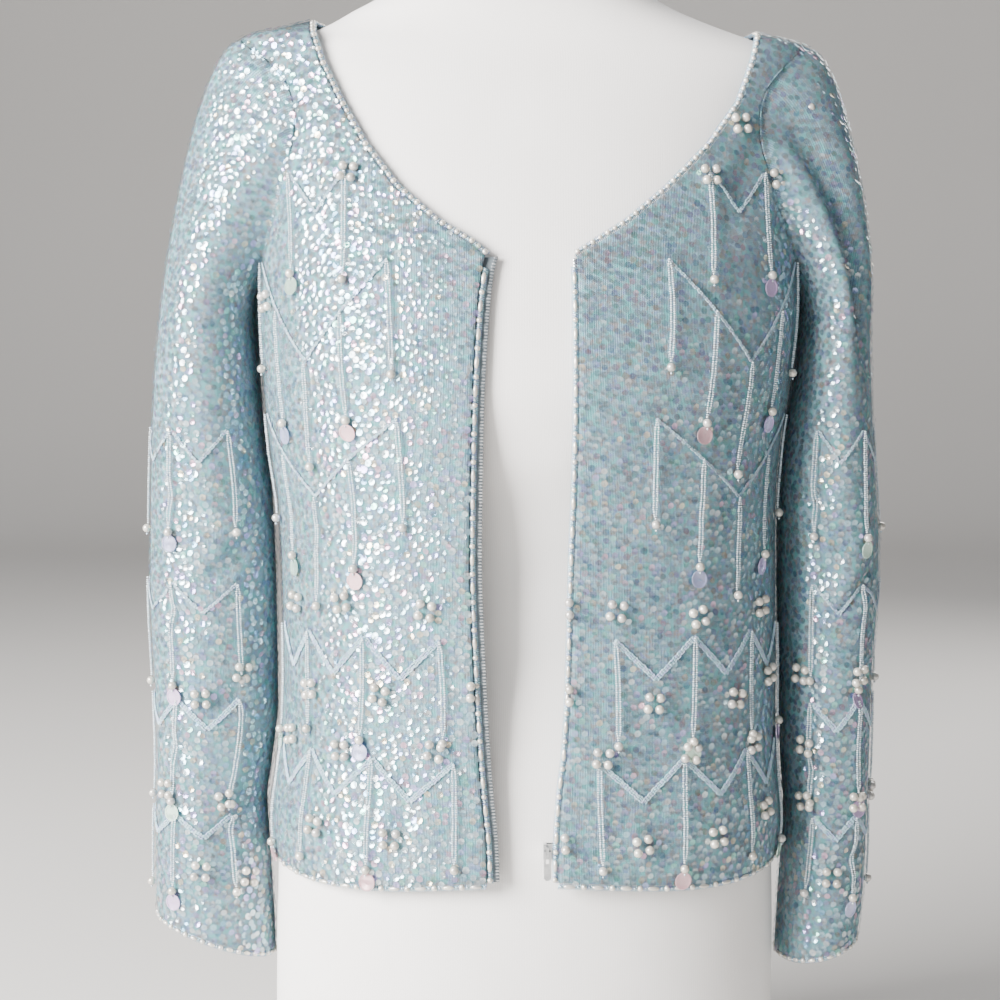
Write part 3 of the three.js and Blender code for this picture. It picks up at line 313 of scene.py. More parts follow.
def quarter_angle(height: Array, side: Side, facing: Facing, axis: int, wanted: Array) -> Array:
    """The angle from the side line at which one coordinate of the ring reaches a wanted size.

    Args:
        height: Heights of the rings.
        side: The wearer's side.
        facing: Front or back.
        axis: 0 for the distance from the centre line, 1 for the depth.
        wanted: Wanted sizes.

    Returns:
        Angles from 0 at the side to a quarter turn at the centre.
    """
    height, wanted = np.broadcast_arrays(np.asarray(height, float), np.asarray(wanted, float))
    low, high = np.zeros(height.shape), np.full(height.shape, np.pi / 2)
    for _ in range(HALVINGS):
        middle = (low + high) / 2
        found = np.abs(BODY_SKIN.point(height, round_angle(side, facing, middle))[..., axis])
        go = (found < wanted) if axis == 1 else (found >= wanted)
        low, high = np.where(go, middle, low), np.where(go, high, middle)
    return (low + high) / 2


def seam_angle(height: Array) -> Array:
    """Angle that keeps a panel half a seam away from the side line."""
    return SEAM_HALF / BODY_SKIN.left(height)


def row_shares(count: int) -> Array:
    """Shares of the way up the armhole, closer together near the shoulder."""
    return 1 - (1 - np.arange(count + 1) / count) ** SHOULDER_CROWDING


def armhole_place(side: Side, facing: Facing, share: Array) -> tuple[Array, Array]:
    """Height and angle of the armhole, from the underarm (0) to the shoulder (1)."""
    tip = SHOULDERS[side].tip
    height = UNDERARM + (tip - UNDERARM) * (1 - np.cos(np.pi * share)) / 2
    depth = ARMHOLE_DEPTH[facing] * np.sin(np.pi * share)
    from_side = np.maximum(seam_angle(height), quarter_angle(height, side, facing, 1, depth))
    return height, round_angle(side, facing, from_side)


def hem_height(angle: Array) -> Array:
    """The hem rides up a little at the sides and at the front corners."""
    return HEM + HEM_LIFT * np.cos(2 * angle) ** 2


def running_length(points: Array) -> Array:
    """Length so far at each point of a polyline."""
    return np.concatenate([[0], np.cumsum(np.linalg.norm(np.diff(points, axis=0), axis=1))])


def read_along(values: Array, lengths: Array, place: Array) -> Array:
    """Values read between a polyline's points, at lengths along it."""
    return np.stack([np.interp(place, lengths, values[:, k]) for k in range(values.shape[1])], -1)


def along_path(path: Array, shares: Array) -> Array:
    """Points at shares of a polyline's length."""
    lengths = running_length(path)
    return read_along(path, lengths, shares * lengths[-1])


def place_near(points: Array, height: Array, angle: Array) -> tuple[Array, Array]:
    """Places of the body's plain surface nearest to points, searched from first guesses."""
    spot, up, turn = BODY_SKIN.point, PLAIN_UP, PLAIN_ROUND
    for _ in range(NEARINGS):
        rise = (spot(height + up, angle) - spot(height - up, angle)) / (2 * up)
        around = (spot(height, angle + turn) - spot(height, angle - turn)) / (2 * turn)
        missing = points - BODY_SKIN.point(height, angle)
        rr, aa, ra = (rise**2).sum(-1), (around**2).sum(-1), (rise * around).sum(-1)
        mr, ma = (missing * rise).sum(-1), (missing * around).sum(-1)
        whole = rr * aa - ra**2
        height = height + np.clip((mr * aa - ma * ra) / whole, -8, 8)
        angle = angle + np.clip((ma * rr - mr * ra) / whole, -0.08, 0.08)
    return height, angle


def fill_places(bottom: Array, top: Array, first: Array, last: Array) -> Array:
    """Grid of (height, angle) places between four borders, rows running up from the bottom.

    Args:
        bottom: Places of the bottom border, from the first side to the last.
        top: Places of the top border.
        first: Places up the first side.
        last: Places up the last side.

    Returns:
        Places of shape (rows, columns, 2).
    """
    under, over, start, end = (BODY_SKIN.point(b[:, 0], b[:, 1]) for b in (bottom, top, first, last))

    def shares(points: Array) -> Array:
        """Shares of the length at a border's points."""
        lengths = running_length(points)
        return lengths / lengths[-1]

    t = np.linspace(0, 1, len(bottom))[None, :, None]
    s = shares(start)[:, None, None] * (1 - t) + shares(end)[:, None, None] * t
    ruled = under * (1 - s) + over * s + start[:, None] * (1 - t) + end[:, None] * t
    corners = (under[0] * (1 - t) + under[-1] * t) * (1 - s) + (over[0] * (1 - t) + over[-1] * t) * s
    points = ruled - corners
    guess = bottom[None, :, 1] * (1 - s[..., 0]) + top[None, :, 1] * s[..., 0]
    height, angle = place_near(points, points[..., 2], guess)
    places = np.stack([height, angle], -1)
    places[0], places[-1], places[:, 0], places[:, -1] = bottom, top, first, last
    return places


@dataclass
class Grid:
    """Outer points of a sheet, rows by columns, with normals and measured cloth coordinates."""

    points: Array
    normals: Array
    closed: bool
    across: Array

    @classmethod
    def of(cls, base: Array, creases: Sequence[Crease], closed: bool, outward: Array,
           across: Array) -> "Grid":
        """Grid of a plain surface with creases sunk in.

        Args:
            base: Plain points, rows by columns.
            creases: Troughs in the cloth.
            closed: Whether the columns run round and meet.
            outward: A rough outward direction for each point.
            across: Cloth length across at each point, in millimetres; one column more if closed.

        Returns:
            The grid, with normals that point out.
        """
        plain = grid_normals(base, closed, outward)
        points = sink(base, plain, creases)
        return cls(points, grid_normals(points, closed, outward), closed, across)

    def cloth_lengths(self) -> Array:
        """Cloth coordinates in metres, across and up; one column more if the grid is closed."""
        up = np.linalg.norm(np.diff(self.points, axis=0), axis=2)
        along = np.concatenate([np.zeros((1, up.shape[1])), np.cumsum(up, 0)], 0)
        if self.closed:
            along = np.concatenate([along, along[:, :1]], 1)
        return np.stack([np.broadcast_to(self.across, along.shape), along], -1) * MM

    def area(self) -> float:
        """Area in square metres."""
        points = self.points
        if self.closed:
            points = np.concatenate([points, points[:, :1]], 1)
        a, b, c, d = points[:-1, :-1], points[:-1, 1:], points[1:, 1:], points[1:, :-1]
        twice = (np.linalg.norm(np.cross(b - a, c - a), axis=-1)
                 + np.linalg.norm(np.cross(c - a, d - a), axis=-1))
        return float(twice.sum()) / 2 * MM * MM


def grid_normals(points: Array, closed: bool, outward: Array) -> Array:
    """Normals of a grid of points, all turned the way that most of them agree with."""
    up = np.gradient(points, axis=0)
    if closed:
        across = np.roll(points, -1, 1) - np.roll(points, 1, 1)
    else:
        across = np.gradient(points, axis=1)
    normals = unit(np.cross(across, up))
    return normals * np.sign((normals * outward).sum())


def mesh_object(name: str, points: Array, faces: Array, look: Material,
                cloth: Optional[Array] = None, tint: Optional[Array] = None,
                smooth: bool = True) -> Piece:
    """One mesh object at the origin.

    Args:
        name: The piece's name.
        points: Points in millimetres.
        faces: Corner numbers, three or four a face.
        look: Its material.
        cloth: Cloth coordinates of each face's corners.
        tint: Colour of each point, with a mask as its fourth number.
        smooth: Whether it is shaded smooth.

    Returns:
        The linked object.
    """
    mesh = bpy.data.meshes.new(name)
    mesh.vertices.add(len(points))
    mesh.vertices.foreach_set("co", (points * MM).astype(np.float32).ravel())
    mesh.loops.add(faces.size)
    mesh.loops.foreach_set("vertex_index", faces.astype(np.int32).ravel())
    mesh.polygons.add(len(faces))
    mesh.polygons.foreach_set("loop_start", np.arange(0, faces.size, faces.shape[1], dtype=np.int32))
    mesh.polygons.foreach_set("use_smooth", np.full(len(faces), smooth))
    if cloth is not None:
        layer = mesh.uv_layers.new(name="cloth")
        layer.data.foreach_set("uv", cloth.astype(np.float32).ravel())
    mesh.update(calc_edges=True)
    if tint is not None:
        colours = mesh.color_attributes.new(name="tint", type="FLOAT_COLOR", domain="POINT")
        colours.data.foreach_set("color", tint.astype(np.float32).ravel())
    mesh.materials.append(look)
    piece = bpy.data.objects.new(name, mesh)
    bpy.context.scene.collection.objects.link(piece)
    return piece


def set_mode(mode: str) -> None:
    """Goes to edit or object mode."""
    bpy.ops.object.mode_set(mode=mode)


def grid_quads(j: Array, i: Array, columns: int) -> Array:
    """Corner numbers of the quads at rows j and columns i, the last column joined to the first."""
    n = (i + 1) % columns
    return np.stack([j * columns + i, j * columns + n, (j + 1) * columns + n, (j + 1) * columns + i], 1)


def wall_mesh(name: str, grid: Grid, wall: float, look: Material) -> Piece:
    """A thin closed shell of cloth with this grid outside.

    Args:
        name: The piece's name.
        grid: Its outer grid.
        wall: Thickness in millimetres.
        look: Its material.

    Returns:
        The piece.
    """
    rows, columns = grid.points.shape[:2]
    outside, normals = grid.points.reshape(-1, 3), grid.normals.reshape(-1, 3)
    points = np.concatenate([outside, outside - normals * wall])
    lengths = grid.cloth_lengths()
    under = rows * columns
    spans = columns if grid.closed else columns - 1
    j, i = np.meshgrid(np.arange(rows - 1), np.arange(spans), indexing="ij")
    j, i = j.ravel(), i.ravel()
    outer = grid_quads(j, i, columns)
    lie = np.stack([lengths[j, i], lengths[j, i + 1], lengths[j + 1, i + 1], lengths[j + 1, i]], 1)
    middle = outer[len(outer) // 2]
    corner = outside[middle]
    facing = np.cross(corner[1] - corner[0], corner[3] - corner[0]) @ normals[middle[0]]
    if facing < 0:
        outer, lie = outer[:, ::-1], lie[:, ::-1]
    faces, lies = [outer, outer[:, ::-1] + under], [lie, lie[:, ::-1]]
    # Rims: first row and column, step to the next point, and whether the face is turned round
    round_columns, up_rows = np.arange(spans), np.arange(rows - 1)
    rims = [(0, round_columns, 0, 1, True), (rows - 1, round_columns, 0, 1, False)]
    if not grid.closed:
        rims += [(up_rows, 0, 1, 0, False), (up_rows, columns - 1, 1, 0, True)]
    for row, column, down, over, turned in rims:
        row, column = np.broadcast_arrays(row, column)
        a = row * columns + column
        b = (row + down) * columns + (column + over) % columns
        quad = np.stack([a, b, b + under, a + under], 1)
        flat = np.stack([lengths[row, column], lengths[row + down, column + over]] * 2, 1)[:, [0, 1, 3, 2]]
        if turned == (facing > 0):
            quad, flat = quad[:, ::-1], flat[:, ::-1]
        faces.append(quad)
        lies.append(flat)
    return mesh_object(name, points, np.concatenate(faces), look, cloth=np.concatenate(lies))


@dataclass(frozen=True)
class Pattern:
    """A small shape that is modelled once and copied many times."""

    points: Array
    faces: Array
    mask: Array


def taken_pattern(radius_mask: bool = False) -> Pattern:
    """Reads the active object into a pattern, with a mask of 1 or of its points' radius, and removes it."""
    piece = bpy.context.object
    set_mode("EDIT")
    bpy.ops.mesh.select_all(action="SELECT")
    bpy.ops.mesh.quads_convert_to_tris()
    bpy.ops.mesh.normals_make_consistent(inside=False)
    set_mode("OBJECT")
    mesh = piece.data
    points = np.empty(len(mesh.vertices) * 3, np.float32)
    mesh.vertices.foreach_get("co", points)
    faces = np.empty(len(mesh.polygons) * 3, np.int32)
    mesh.polygons.foreach_get("vertices", faces)
    points = points.reshape(-1, 3).astype(float)
    bpy.data.objects.remove(piece, do_unlink=True)
    mask = np.linalg.norm(points[:, :2], axis=1) if radius_mask else np.ones(len(points))
    return Pattern(points, faces.reshape(-1, 3), mask)


def select_points(test: Callable[[Vector], bool]) -> None:
    """Selects the active mesh's points that pass a test, in edit mode."""
    piece = bpy.context.object
    set_mode("EDIT")
    bpy.ops.mesh.select_mode(type="VERT")
    bpy.ops.mesh.select_all(action="DESELECT")
    set_mode("OBJECT")
    for vertex in piece.data.vertices:
        vertex.select = bool(test(vertex.co))
    set_mode("EDIT")


class SmallShapes:
    """The beads, sequins and teeth, each modelled once at unit size."""

    def __init__(self) -> None:
        """Models every small shape."""
        bpy.ops.object.select_all(action="DESELECT")
        # A pearl has a dimple at each end of its hole, a link of chain stitch is pointed at its ends
        self.pearl = self._ball(2, 0.98, (0.94, 1, 1))
        self.seed = self._ball(1, -1, (0.82, 1, 1))
        self.sequin = self._sequin()
        self.paillette = self._paillette()
        self.stitch = self._ball(1, 0.8, (1.2, 0.6, 0.6))
        self.tooth = self._tooth()

    @staticmethod
    def _ball(subdivisions: int, beyond: float, resize: tuple) -> Pattern:
        """A ball whose points beyond a reach along X are resized."""
        bpy.ops.mesh.primitive_ico_sphere_add(subdivisions=subdivisions, radius=1.0)
        select_points(lambda co: abs(co.x) > beyond)
        bpy.ops.transform.resize(value=resize)
        return taken_pattern()

    @staticmethod
    def _sequin() -> Pattern:
        """A cupped sequin whose middle lies lower."""
        bpy.ops.mesh.primitive_circle_add(vertices=8, radius=1.0, fill_type="TRIFAN")
        select_points(lambda co: co.length < 0.01)
        bpy.ops.transform.translate(value=(0, 0, -0.13))
        return taken_pattern(radius_mask=True)

    @staticmethod
    def _paillette() -> Pattern:
        """A flat round paillette with a raised rim."""
        bpy.ops.mesh.primitive_cylinder_add(vertices=18, radius=1.0, depth=0.1)
        select_points(lambda co: co.z > 0)
        bpy.ops.mesh.inset(thickness=0.16, depth=0)
        bpy.ops.mesh.extrude_region_move(TRANSFORM_OT_translate={"value": (0, 0, -0.05)})
        bpy.ops.mesh.inset(thickness=0.55, depth=0)
        bpy.ops.transform.translate(value=(0, 0, -0.04))
        return taken_pattern(radius_mask=True)

    @staticmethod
    def _tooth() -> Pattern:
        """A zip tooth with softened edges."""
        bpy.ops.mesh.primitive_cube_add(size=2.0)
        set_mode("EDIT")
        bpy.ops.mesh.select_all(action="SELECT")
        bpy.ops.mesh.bevel(offset=0.3, segments=1, affect="EDGES")
        set_mode("OBJECT")
        return taken_pattern()


@dataclass
class Scatter:
    """Copies of small shapes gathered for one joined mesh."""

    points: list = field(default_factory=list)
    faces: list = field(default_factory=list)
    tints: list = field(default_factory=list)
    count: int = 0

    def add(self, pattern: Pattern, places: Array, axes: Array, sizes: Array, tint: Array) -> None:
        """Adds one copy at each place.

        Args:
            pattern: The shape.
            places: Points, one a copy.
            axes: Directions of the shape's X, Y and Z, one set a copy.
            sizes: Its three half sizes, one set a copy or one for all.
            tint: Colour of each copy, or one for all.
        """
        copies, corners = len(places), len(pattern.points)
        if copies == 0:
            return
        sizes = np.broadcast_to(np.asarray(sizes, float), (copies, 3))
        tint = np.broadcast_to(np.asarray(tint, float), (copies, 3))
        local = pattern.points[None] * sizes[:, None]
        world = places[:, None] + np.einsum("kva,kab->kvb", local, axes)
        self.points.append(world.reshape(-1, 3))
        starts = self.count + np.arange(copies) * corners
        self.faces.append((pattern.faces[None] + starts[:, None, None]).reshape(-1, 3))
        self.count += copies * corners
        colour = np.broadcast_to(tint[:, None], (copies, corners, 3))
        mask = np.broadcast_to(pattern.mask[None, :, None], (copies, corners, 1))
        self.tints.append(np.concatenate([colour, mask], -1).reshape(-1, 4))

    def piece(self, name: str, look: Material, smooth: bool = True) -> Piece:
        """The joined mesh."""
        return mesh_object(name, np.concatenate(self.points), np.concatenate(self.faces), look,
                           tint=np.concatenate(self.tints), smooth=smooth)


def axes_along(direction: Array, normal: Array) -> Array:
    """Axes with X along a direction and Z as near a normal as that allows."""
    x = unit(direction)
    z = unit(normal - (normal * x).sum(-1, keepdims=True) * x)
    return np.stack([x, np.cross(z, x), z], -2)


def path_spots(path: Array, normals: Array, step: float) -> tuple[Array, Array, Array]:
    """Evenly spaced points, directions and normals along a path.

    Args:
        path: Points of the path.
        normals: The surface's normals there.
        step: Wanted spacing.

    Returns:
        Points, directions and normals at the middle of each step.
    """
    lengths = running_length(path)
    count = max(1, int(round(lengths[-1] / step)))
    at = (np.arange(count) + 0.5) * lengths[-1] / count
    reach = min(step, lengths[-1]) * 0.25
    run = read_along(path, lengths, at + reach) - read_along(path, lengths, at - reach)
    return read_along(path, lengths, at), run, unit(read_along(normals, lengths, at))


@dataclass(frozen=True)
class SleeveCut:
    """Sizes of one hanging sleeve."""

    cuff: float
    cuff_lift: float
    lean: float
    fullness: float
    drop: float
    rings: tuple
    folds: tuple
    creases: tuple


# Cuff, lift of its outer side, lean, fullness and drop of the cap, then rings (height, inner and outer
# reach, front and back depth), folds (middle and spread in degrees, foot, head, depth) and creases
SLEEVE_CUTS = {
    Side.LEFT: SleeveCut(
        112, 12, 0.04, 20, 92,
        ((100, 163.5, 214, 41, 38), (125, 164.5, 216.5, 41, 38), (147, 165.5, 219, 41, 38),
         (175, 167, 220.5, 42, 39), (205, 168.3, 221, 43, 40), (235, 166.2, 222, 44, 41),
         (300, 163.6, 223.2, 46, 43), (365, 162.4, 226.2, 48, 46), (403, 162.2, 224.4, 50, 48),
         (440, 164.8, 221.5, 52, 50), (480, 170.8, 219, 54, 52), (515, 174.6, 217.4, 54, 54)),
        ((122, 13, 470, 672, 6.5), (152, 14, 500, 650, -2.5), (78, 16, 330, 480, 3),
         (250, 16, 430, 640, 5), (100, 20, 150, 300, 2.5)),
        crease_rows(
            (203, -50, 400, 192, -52, 372, 180, -46, 352, 7, 3),
            (219, -26, 372, 206, -45, 348, 190, -48, 336, 6, 2.4),
            (172, -30, 420, 184, -50, 400, 198, -52, 386, 6, 2.2),
            (218, -24, 300, 206, -42, 284, 188, -46, 276, 7, 2.4),
            (170, -26, 250, 182, -42, 236, 198, -42, 228, 7, 2.6),
            (216, -22, 196, 204, -38, 178, 188, -42, 166, 7, 2.4),
            (208, 34, 410, 194, 48, 384, 178, 44, 366, 8, 3.2),
            (214, 26, 320, 200, 40, 300, 182, 42, 290, 8, 2.6),
            (172, 30, 236, 188, 40, 220, 204, 34, 210, 8, 2.4),
            (221, 4, 350, 223, 2, 322, 222, -4, 300, 7, 1.8))),
    Side.RIGHT: SleeveCut(
        112, 26, 0.13, 17, 96,
        ((100, 161.5, 236.5, 33, 33), (125, 162, 237.5, 34, 34), (150, 163.2, 238.2, 34, 34),
         (190, 165.2, 238, 35, 35), (211, 166.2, 237, 35, 35), (237, 162.6, 236.2, 36, 36),
         (275, 158.6, 236.8, 37, 36), (338, 159, 239.2, 39, 38), (403, 161, 238, 43, 42),
         (451, 166.2, 236, 47, 45), (485, 168.4, 233.8, 50, 48), (515, 169.8, 230.8, 51, 51)),
        ((52, 12, 560, 650, 4), (108, 18, 330, 500, 2), (255, 18, 400, 640, 4.5),
         (75, 16, 150, 260, 2.5)),
        crease_rows(
            (-226, -34, 420, -208, -44, 398, -188, -42, 384, 7, 2.6),
            (-168, -28, 388, -186, -40, 366, -206, -40, 352, 7, 3),
            (-232, -24, 352, -214, -36, 334, -194, -38, 322, 7, 2.4),
            (-166, -24, 300, -184, -36, 284, -204, -36, 272, 7, 2.6),
            (-228, -22, 262, -210, -34, 244, -192, -34, 234, 7, 2.2),
            (-170, -22, 212, -188, -33, 196, -206, -32, 186, 7, 2.4),
            (-226, 30, 400, -206, 40, 376, -184, 36, 360, 8, 3),
            (-172, 26, 300, -190, 36, 280, -212, 32, 268, 8, 2.8),
            (-228, 20, 230, -210, 32, 214, -190, 32, 204, 8, 2.4))),
}


class SleeveShape:
    """Outside of one hanging sleeve. Turn 0 is inside, a quarter turn the front."""

    COLUMNS, CAP_ROWS, ARM_ROWS, FOLD_FADE = 88, 34, 96, 60.0
    # Seam row, how the cap leaves the armhole and meets the arm, and the cloth's width round the arm
    SEAM_ROW, CAP_SINK, CAP_START, CAP_END, CLOTH_ROUND = 1.2, -0.22, 1.6, 5, 250.0

    def __init__(self, side: Side) -> None:
        """Reads the sleeve's sizes."""
        self.side, self.cut = side, SLEEVE_CUTS[side]
        self.inner, self.outer, self.front, self.back = ring_curves(self.cut.rings)

    def _fade(self, distance: Array) -> Array:
        """Soft start of a fold at a distance from its end."""
        share = np.clip(distance / self.FOLD_FADE, 0, 1)
        return share * share * (3 - 2 * share)

    def fold(self, turn: Array, height: Array) -> Array:
        """How deep the lengthwise folds are."""
        total = np.zeros(np.broadcast(turn, height).shape)
        for middle, spread, foot, head, depth in self.cut.folds:
            share = (np.degrees(turn) - middle) / spread
            total = total + depth * np.exp(-share**2) * self._fade(height - foot) * self._fade(head - height)
        return total

    def point(self, height: Array, turn: Array) -> Array:
        """Points of the plain sleeve below the underarm."""
        height, turn = np.broadcast_arrays(np.asarray(height, float), np.asarray(turn, float))
        centre = (self.inner(height) + self.outer(height)) / 2
        half = (self.outer(height) - self.inner(height)) / 2
        depth = np.where(np.sin(turn) > 0, self.front(height), self.back(height))
        out = unit(np.stack([-np.cos(turn) / half, -np.sin(turn) / depth], -1))
        fold = self.fold(turn, height)
        return np.stack([self.side.value * (centre - half * np.cos(turn) - out[..., 0] * fold),
                         -depth * np.sin(turn) - out[..., 1] * fold, height], -1)

    def creased(self, height: Array, turn: Array) -> Array:
        """Points of the sleeve with its small creases."""
        slopes = crossed_slopes(self.point, height, turn, PLAIN_UP, SLEEVE_ROUND)
        return sink(self.point(height, turn), self._outward(slopes, turn), self.cut.creases)

    def _outward(self, normals: Array, turn: Array) -> Array:
        """Unit normals turned outward."""
        rough = np.stack([-np.cos(turn) * self.side.value, -np.sin(turn), np.zeros(np.shape(turn))], -1)
        return unit(normals * np.sign((normals * rough).sum(-1, keepdims=True)))

    def frame(self, height: Array, turn: Array, rise: float = 0.0) -> tuple[Array, Array]:
        """Points of the creased sleeve, moved out, and their outward directions."""
        height, turn = np.broadcast_arrays(np.asarray(height, float), np.asarray(turn, float))
        slopes = crossed_slopes(self.creased, height, turn, CREASED_UP, SLEEVE_CREASED_ROUND)
        normal = self._outward(slopes, turn)
        return self.creased(height, turn) + normal * rise, normal

    def _armhole(self, turn: Array) -> tuple[Array, Array, Array]:
        """Armhole points, normals and the directions in which the cloth goes on."""

        def place(angle: Array) -> tuple[Array, Array]:
            """Height and angle round the armhole."""
            wrapped = np.mod(angle, 2 * np.pi)
            ahead = armhole_place(self.side, Facing.FRONT, np.minimum(wrapped / np.pi, 1))
            behind = armhole_place(self.side, Facing.BACK, np.minimum(2 - wrapped / np.pi, 1))
            front = wrapped <= np.pi
            return np.where(front, ahead[0], behind[0]), np.where(front, ahead[1], behind[1])

        def spot(angle: Array) -> Array:
            """Armhole points."""
            return BODY_SKIN.point(*place(angle))

        height, angle = place(turn)
        point = BODY_SKIN.point(height, angle)
        normal = BODY_SKIN.plain_normal(height, angle)
        onward = unit(np.cross(spot(turn + 0.02) - spot(turn - 0.02), normal))
        hollow = np.array([self.side.value * HOLLOW_REACH, 0, (UNDERARM + SHOULDERS[self.side].tip) / 2])
        sign = np.sign((onward * (hollow - point)).sum(-1, keepdims=True))
        return point, normal, onward * sign

    def grid(self) -> Grid:
        """The whole sleeve from the armhole down to the cuff."""
        shares = row_shares(self.COLUMNS // 2)
        turn = np.pi * np.concatenate([shares, 2 - shares[1:-1][::-1]])
        cut, side = self.cut, self.side.value
        sideways, up, down = np.array([side, 0, 0.0]), np.array([0, 0, 1.0]), np.array([0, 0, self.CAP_SINK])
        start, _, onward = self._armhole(turn)
        seam = start + onward * (ARMHOLE_GAP + self.SEAM_ROW)
        rows = [start + onward * ARMHOLE_GAP, seam]
        outside = ((1 - np.cos(turn)) / 2)[:, None]
        end = self.point(SLEEVE_START, turn)
        leave = seam + (sideways + down * outside) * (self.CAP_START + cut.fullness * outside)
        arrive = end + (up - sideways * cut.lean * outside) * (self.CAP_END + cut.drop * outside)
        out = np.stack([-side * np.cos(turn), -np.sin(turn), np.zeros(len(turn))], -1)
        for k in range(1, self.CAP_ROWS + 1):
            t = k / self.CAP_ROWS
            point = ((1 - t) ** 3 * seam + 3 * (1 - t) ** 2 * t * leave
                     + 3 * (1 - t) * t**2 * arrive + t**3 * end)
            if k < self.CAP_ROWS:
                point = point - out * self.fold(turn, point[:, 2])[:, None]
            rows.append(point)
        foot = cut.cuff + cut.cuff_lift * (1 - np.cos(turn)) / 2
        for k in range(1, self.ARM_ROWS + 1):
            rows.append(self.point(SLEEVE_START + (foot - SLEEVE_START) * k / self.ARM_ROWS, turn))
        base = np.stack(rows)
        across = np.concatenate([turn, [2 * np.pi]]) / (2 * np.pi) * self.CLOTH_ROUND
        return Grid.of(base, cut.creases, True, np.broadcast_to(out, base.shape), across)


class PanelShape:
    """Cut of the fronts and the back as places on the body."""

    BELOW, ABOVE, FRONT_COLUMNS, BACK_COLUMNS, SEAM_COLUMNS = 60, 50, 54, 108, 18
    CLOTH_RADIUS = 140.0

    @classmethod
    def side_border(cls, side: Side, facing: Facing) -> Array:
        """Places up the side seam and round the armhole to the shoulder."""
        angle = round_angle(side, facing, seam_angle(np.array(UNDERARM)))
        hem = hem_height(angle)
        low = hem + (UNDERARM - hem) * np.arange(cls.BELOW) / cls.BELOW
        height, turn = armhole_place(side, facing, row_shares(cls.ABOVE))
        seam = np.stack([low, np.full(len(low), float(angle))], 1)
        return np.concatenate([seam, np.stack([height, turn], 1)])

    @classmethod
    def opening_border(cls, side: Side) -> Array:
        """Places up the front edge and along the neck to the shoulder."""
        column = 1 if side is Side.LEFT else 2
        edge_table, neck = np.array(FRONT_EDGE, float), np.array(FRONT_NECK, float)[:, [0, column]]
        edge = SmoothCurve(edge_table[:, 0], edge_table[:, column])
        run = np.gradient(neck, axis=0)
        run /= np.linalg.norm(run, axis=1, keepdims=True)
        moved = neck + EDGE_REACH * np.stack([-run[:, 1], run[:, 0]], 1)
        corner = np.array([FRONT_CORNER - EDGE_REACH, float(edge(FRONT_CORNER)) + EDGE_REACH])
        hem = HEM + HEM_LIFT
        height = hem + (corner[0] - hem) * np.arange(cls.BELOW) / cls.BELOW
        route = along_path(np.concatenate([corner[None], moved[1:]]), row_shares(cls.ABOVE)[:-1])
        heights = np.concatenate([height, route[:, 0]])
        wanted = np.concatenate([edge(height) + EDGE_REACH, route[:, 1]])
        angle = round_angle(side, Facing.FRONT, quarter_angle(heights, side, Facing.FRONT, 0, wanted))
        top = SHOULDERS[side].neck
        end = round_angle(side, Facing.FRONT, seam_angle(np.array(top)))
        return np.concatenate([np.stack([heights, angle], 1), [[top, float(end)]]])

    @staticmethod
    def between(start: Array, end: Array, count: int, hem: bool = False) -> Array:
        """Evenly spaced places between two ends, with the hem's heights if wanted."""
        places = start + (end - start) * np.linspace(0, 1, count + 1)[:, None]
        if hem:
            places[:, 0] = hem_height(places[:, 1])
        return places

    @classmethod
    def front(cls, side: Side) -> Array:
        """Places of a front, columns running from the opening to the side."""
        last, first = cls.side_border(side, Facing.FRONT), cls.opening_border(side)
        bottom = cls.between(first[0], last[0], cls.FRONT_COLUMNS, hem=True)
        first[0] = bottom[0]
        return fill_places(bottom, cls.between(first[-1], last[-1], cls.FRONT_COLUMNS), first, last)

    @classmethod
    def back(cls) -> Array:
        """Places of the back, columns running from the wearer's left to the right."""
        first, last = cls.side_border(Side.LEFT, Facing.BACK), cls.side_border(Side.RIGHT, Facing.BACK)
        bottom = cls.between(first[0], last[0], cls.BACK_COLUMNS, hem=True)
        count = cls.BACK_COLUMNS - 2 * cls.SEAM_COLUMNS
        turn = np.pi * np.arange(count + 1) / count
        neck = np.zeros((count + 1, 2))
        for side, part in ((Side.LEFT, turn <= np.pi / 2), (Side.RIGHT, turn > np.pi / 2)):
            top = SHOULDERS[side].neck
            reach = abs(float(BODY_SKIN.point(top, 0 if side is Side.LEFT else np.pi)[0]))
            low, high = (np.full(part.sum(), float(BODY_RINGS[row][0])) for row in (0, -1))
            across, depth = np.abs(np.cos(turn[part])) * reach, BACK_NECK_DEPTH * np.sin(turn[part])
            for _ in range(HALVINGS):
                height = (low + high) / 2
                angle = round_angle(side, Facing.BACK, quarter_angle(height, side, Facing.BACK, 0, across))
                above = BODY_SKIN.point(height, angle)[:, 1] > depth
                low, high = np.where(above, height, low), np.where(above, high, height)
            neck[part] = np.stack([height, angle], 1)
        for side, spot in ((Side.LEFT, 0), (Side.RIGHT, -1)):
            top = SHOULDERS[side].neck
            neck[spot] = top, float(round_angle(side, Facing.BACK, seam_angle(np.array(top))))
        over = np.concatenate([cls.between(first[-1], neck[0], cls.SEAM_COLUMNS)[:-1], neck,
                               cls.between(neck[-1], last[-1], cls.SEAM_COLUMNS)[1:]])
        return fill_places(bottom, over, first, last)

    @classmethod
    def grid(cls, places: Array) -> Grid:
        """The panel's outer grid."""
        base = BODY_SKIN.point(places[..., 0], places[..., 1])
        outward = BODY_SKIN.plain_normal(places[..., 0], places[..., 1])
        return Grid.of(base, BODY_CREASES, False, outward, (places[..., 1] - np.pi / 2) * cls.CLOTH_RADIUS)


def srgb(red: float, green: float, blue: float) -> tuple[float, ...]:
    """Linear colour of display values from 0 to 255."""
    values = np.array([red, green, blue]) / 255
    return tuple(np.where(values <= 0.04045, values / 12.92, ((values + 0.055) / 1.055) ** 2.4))


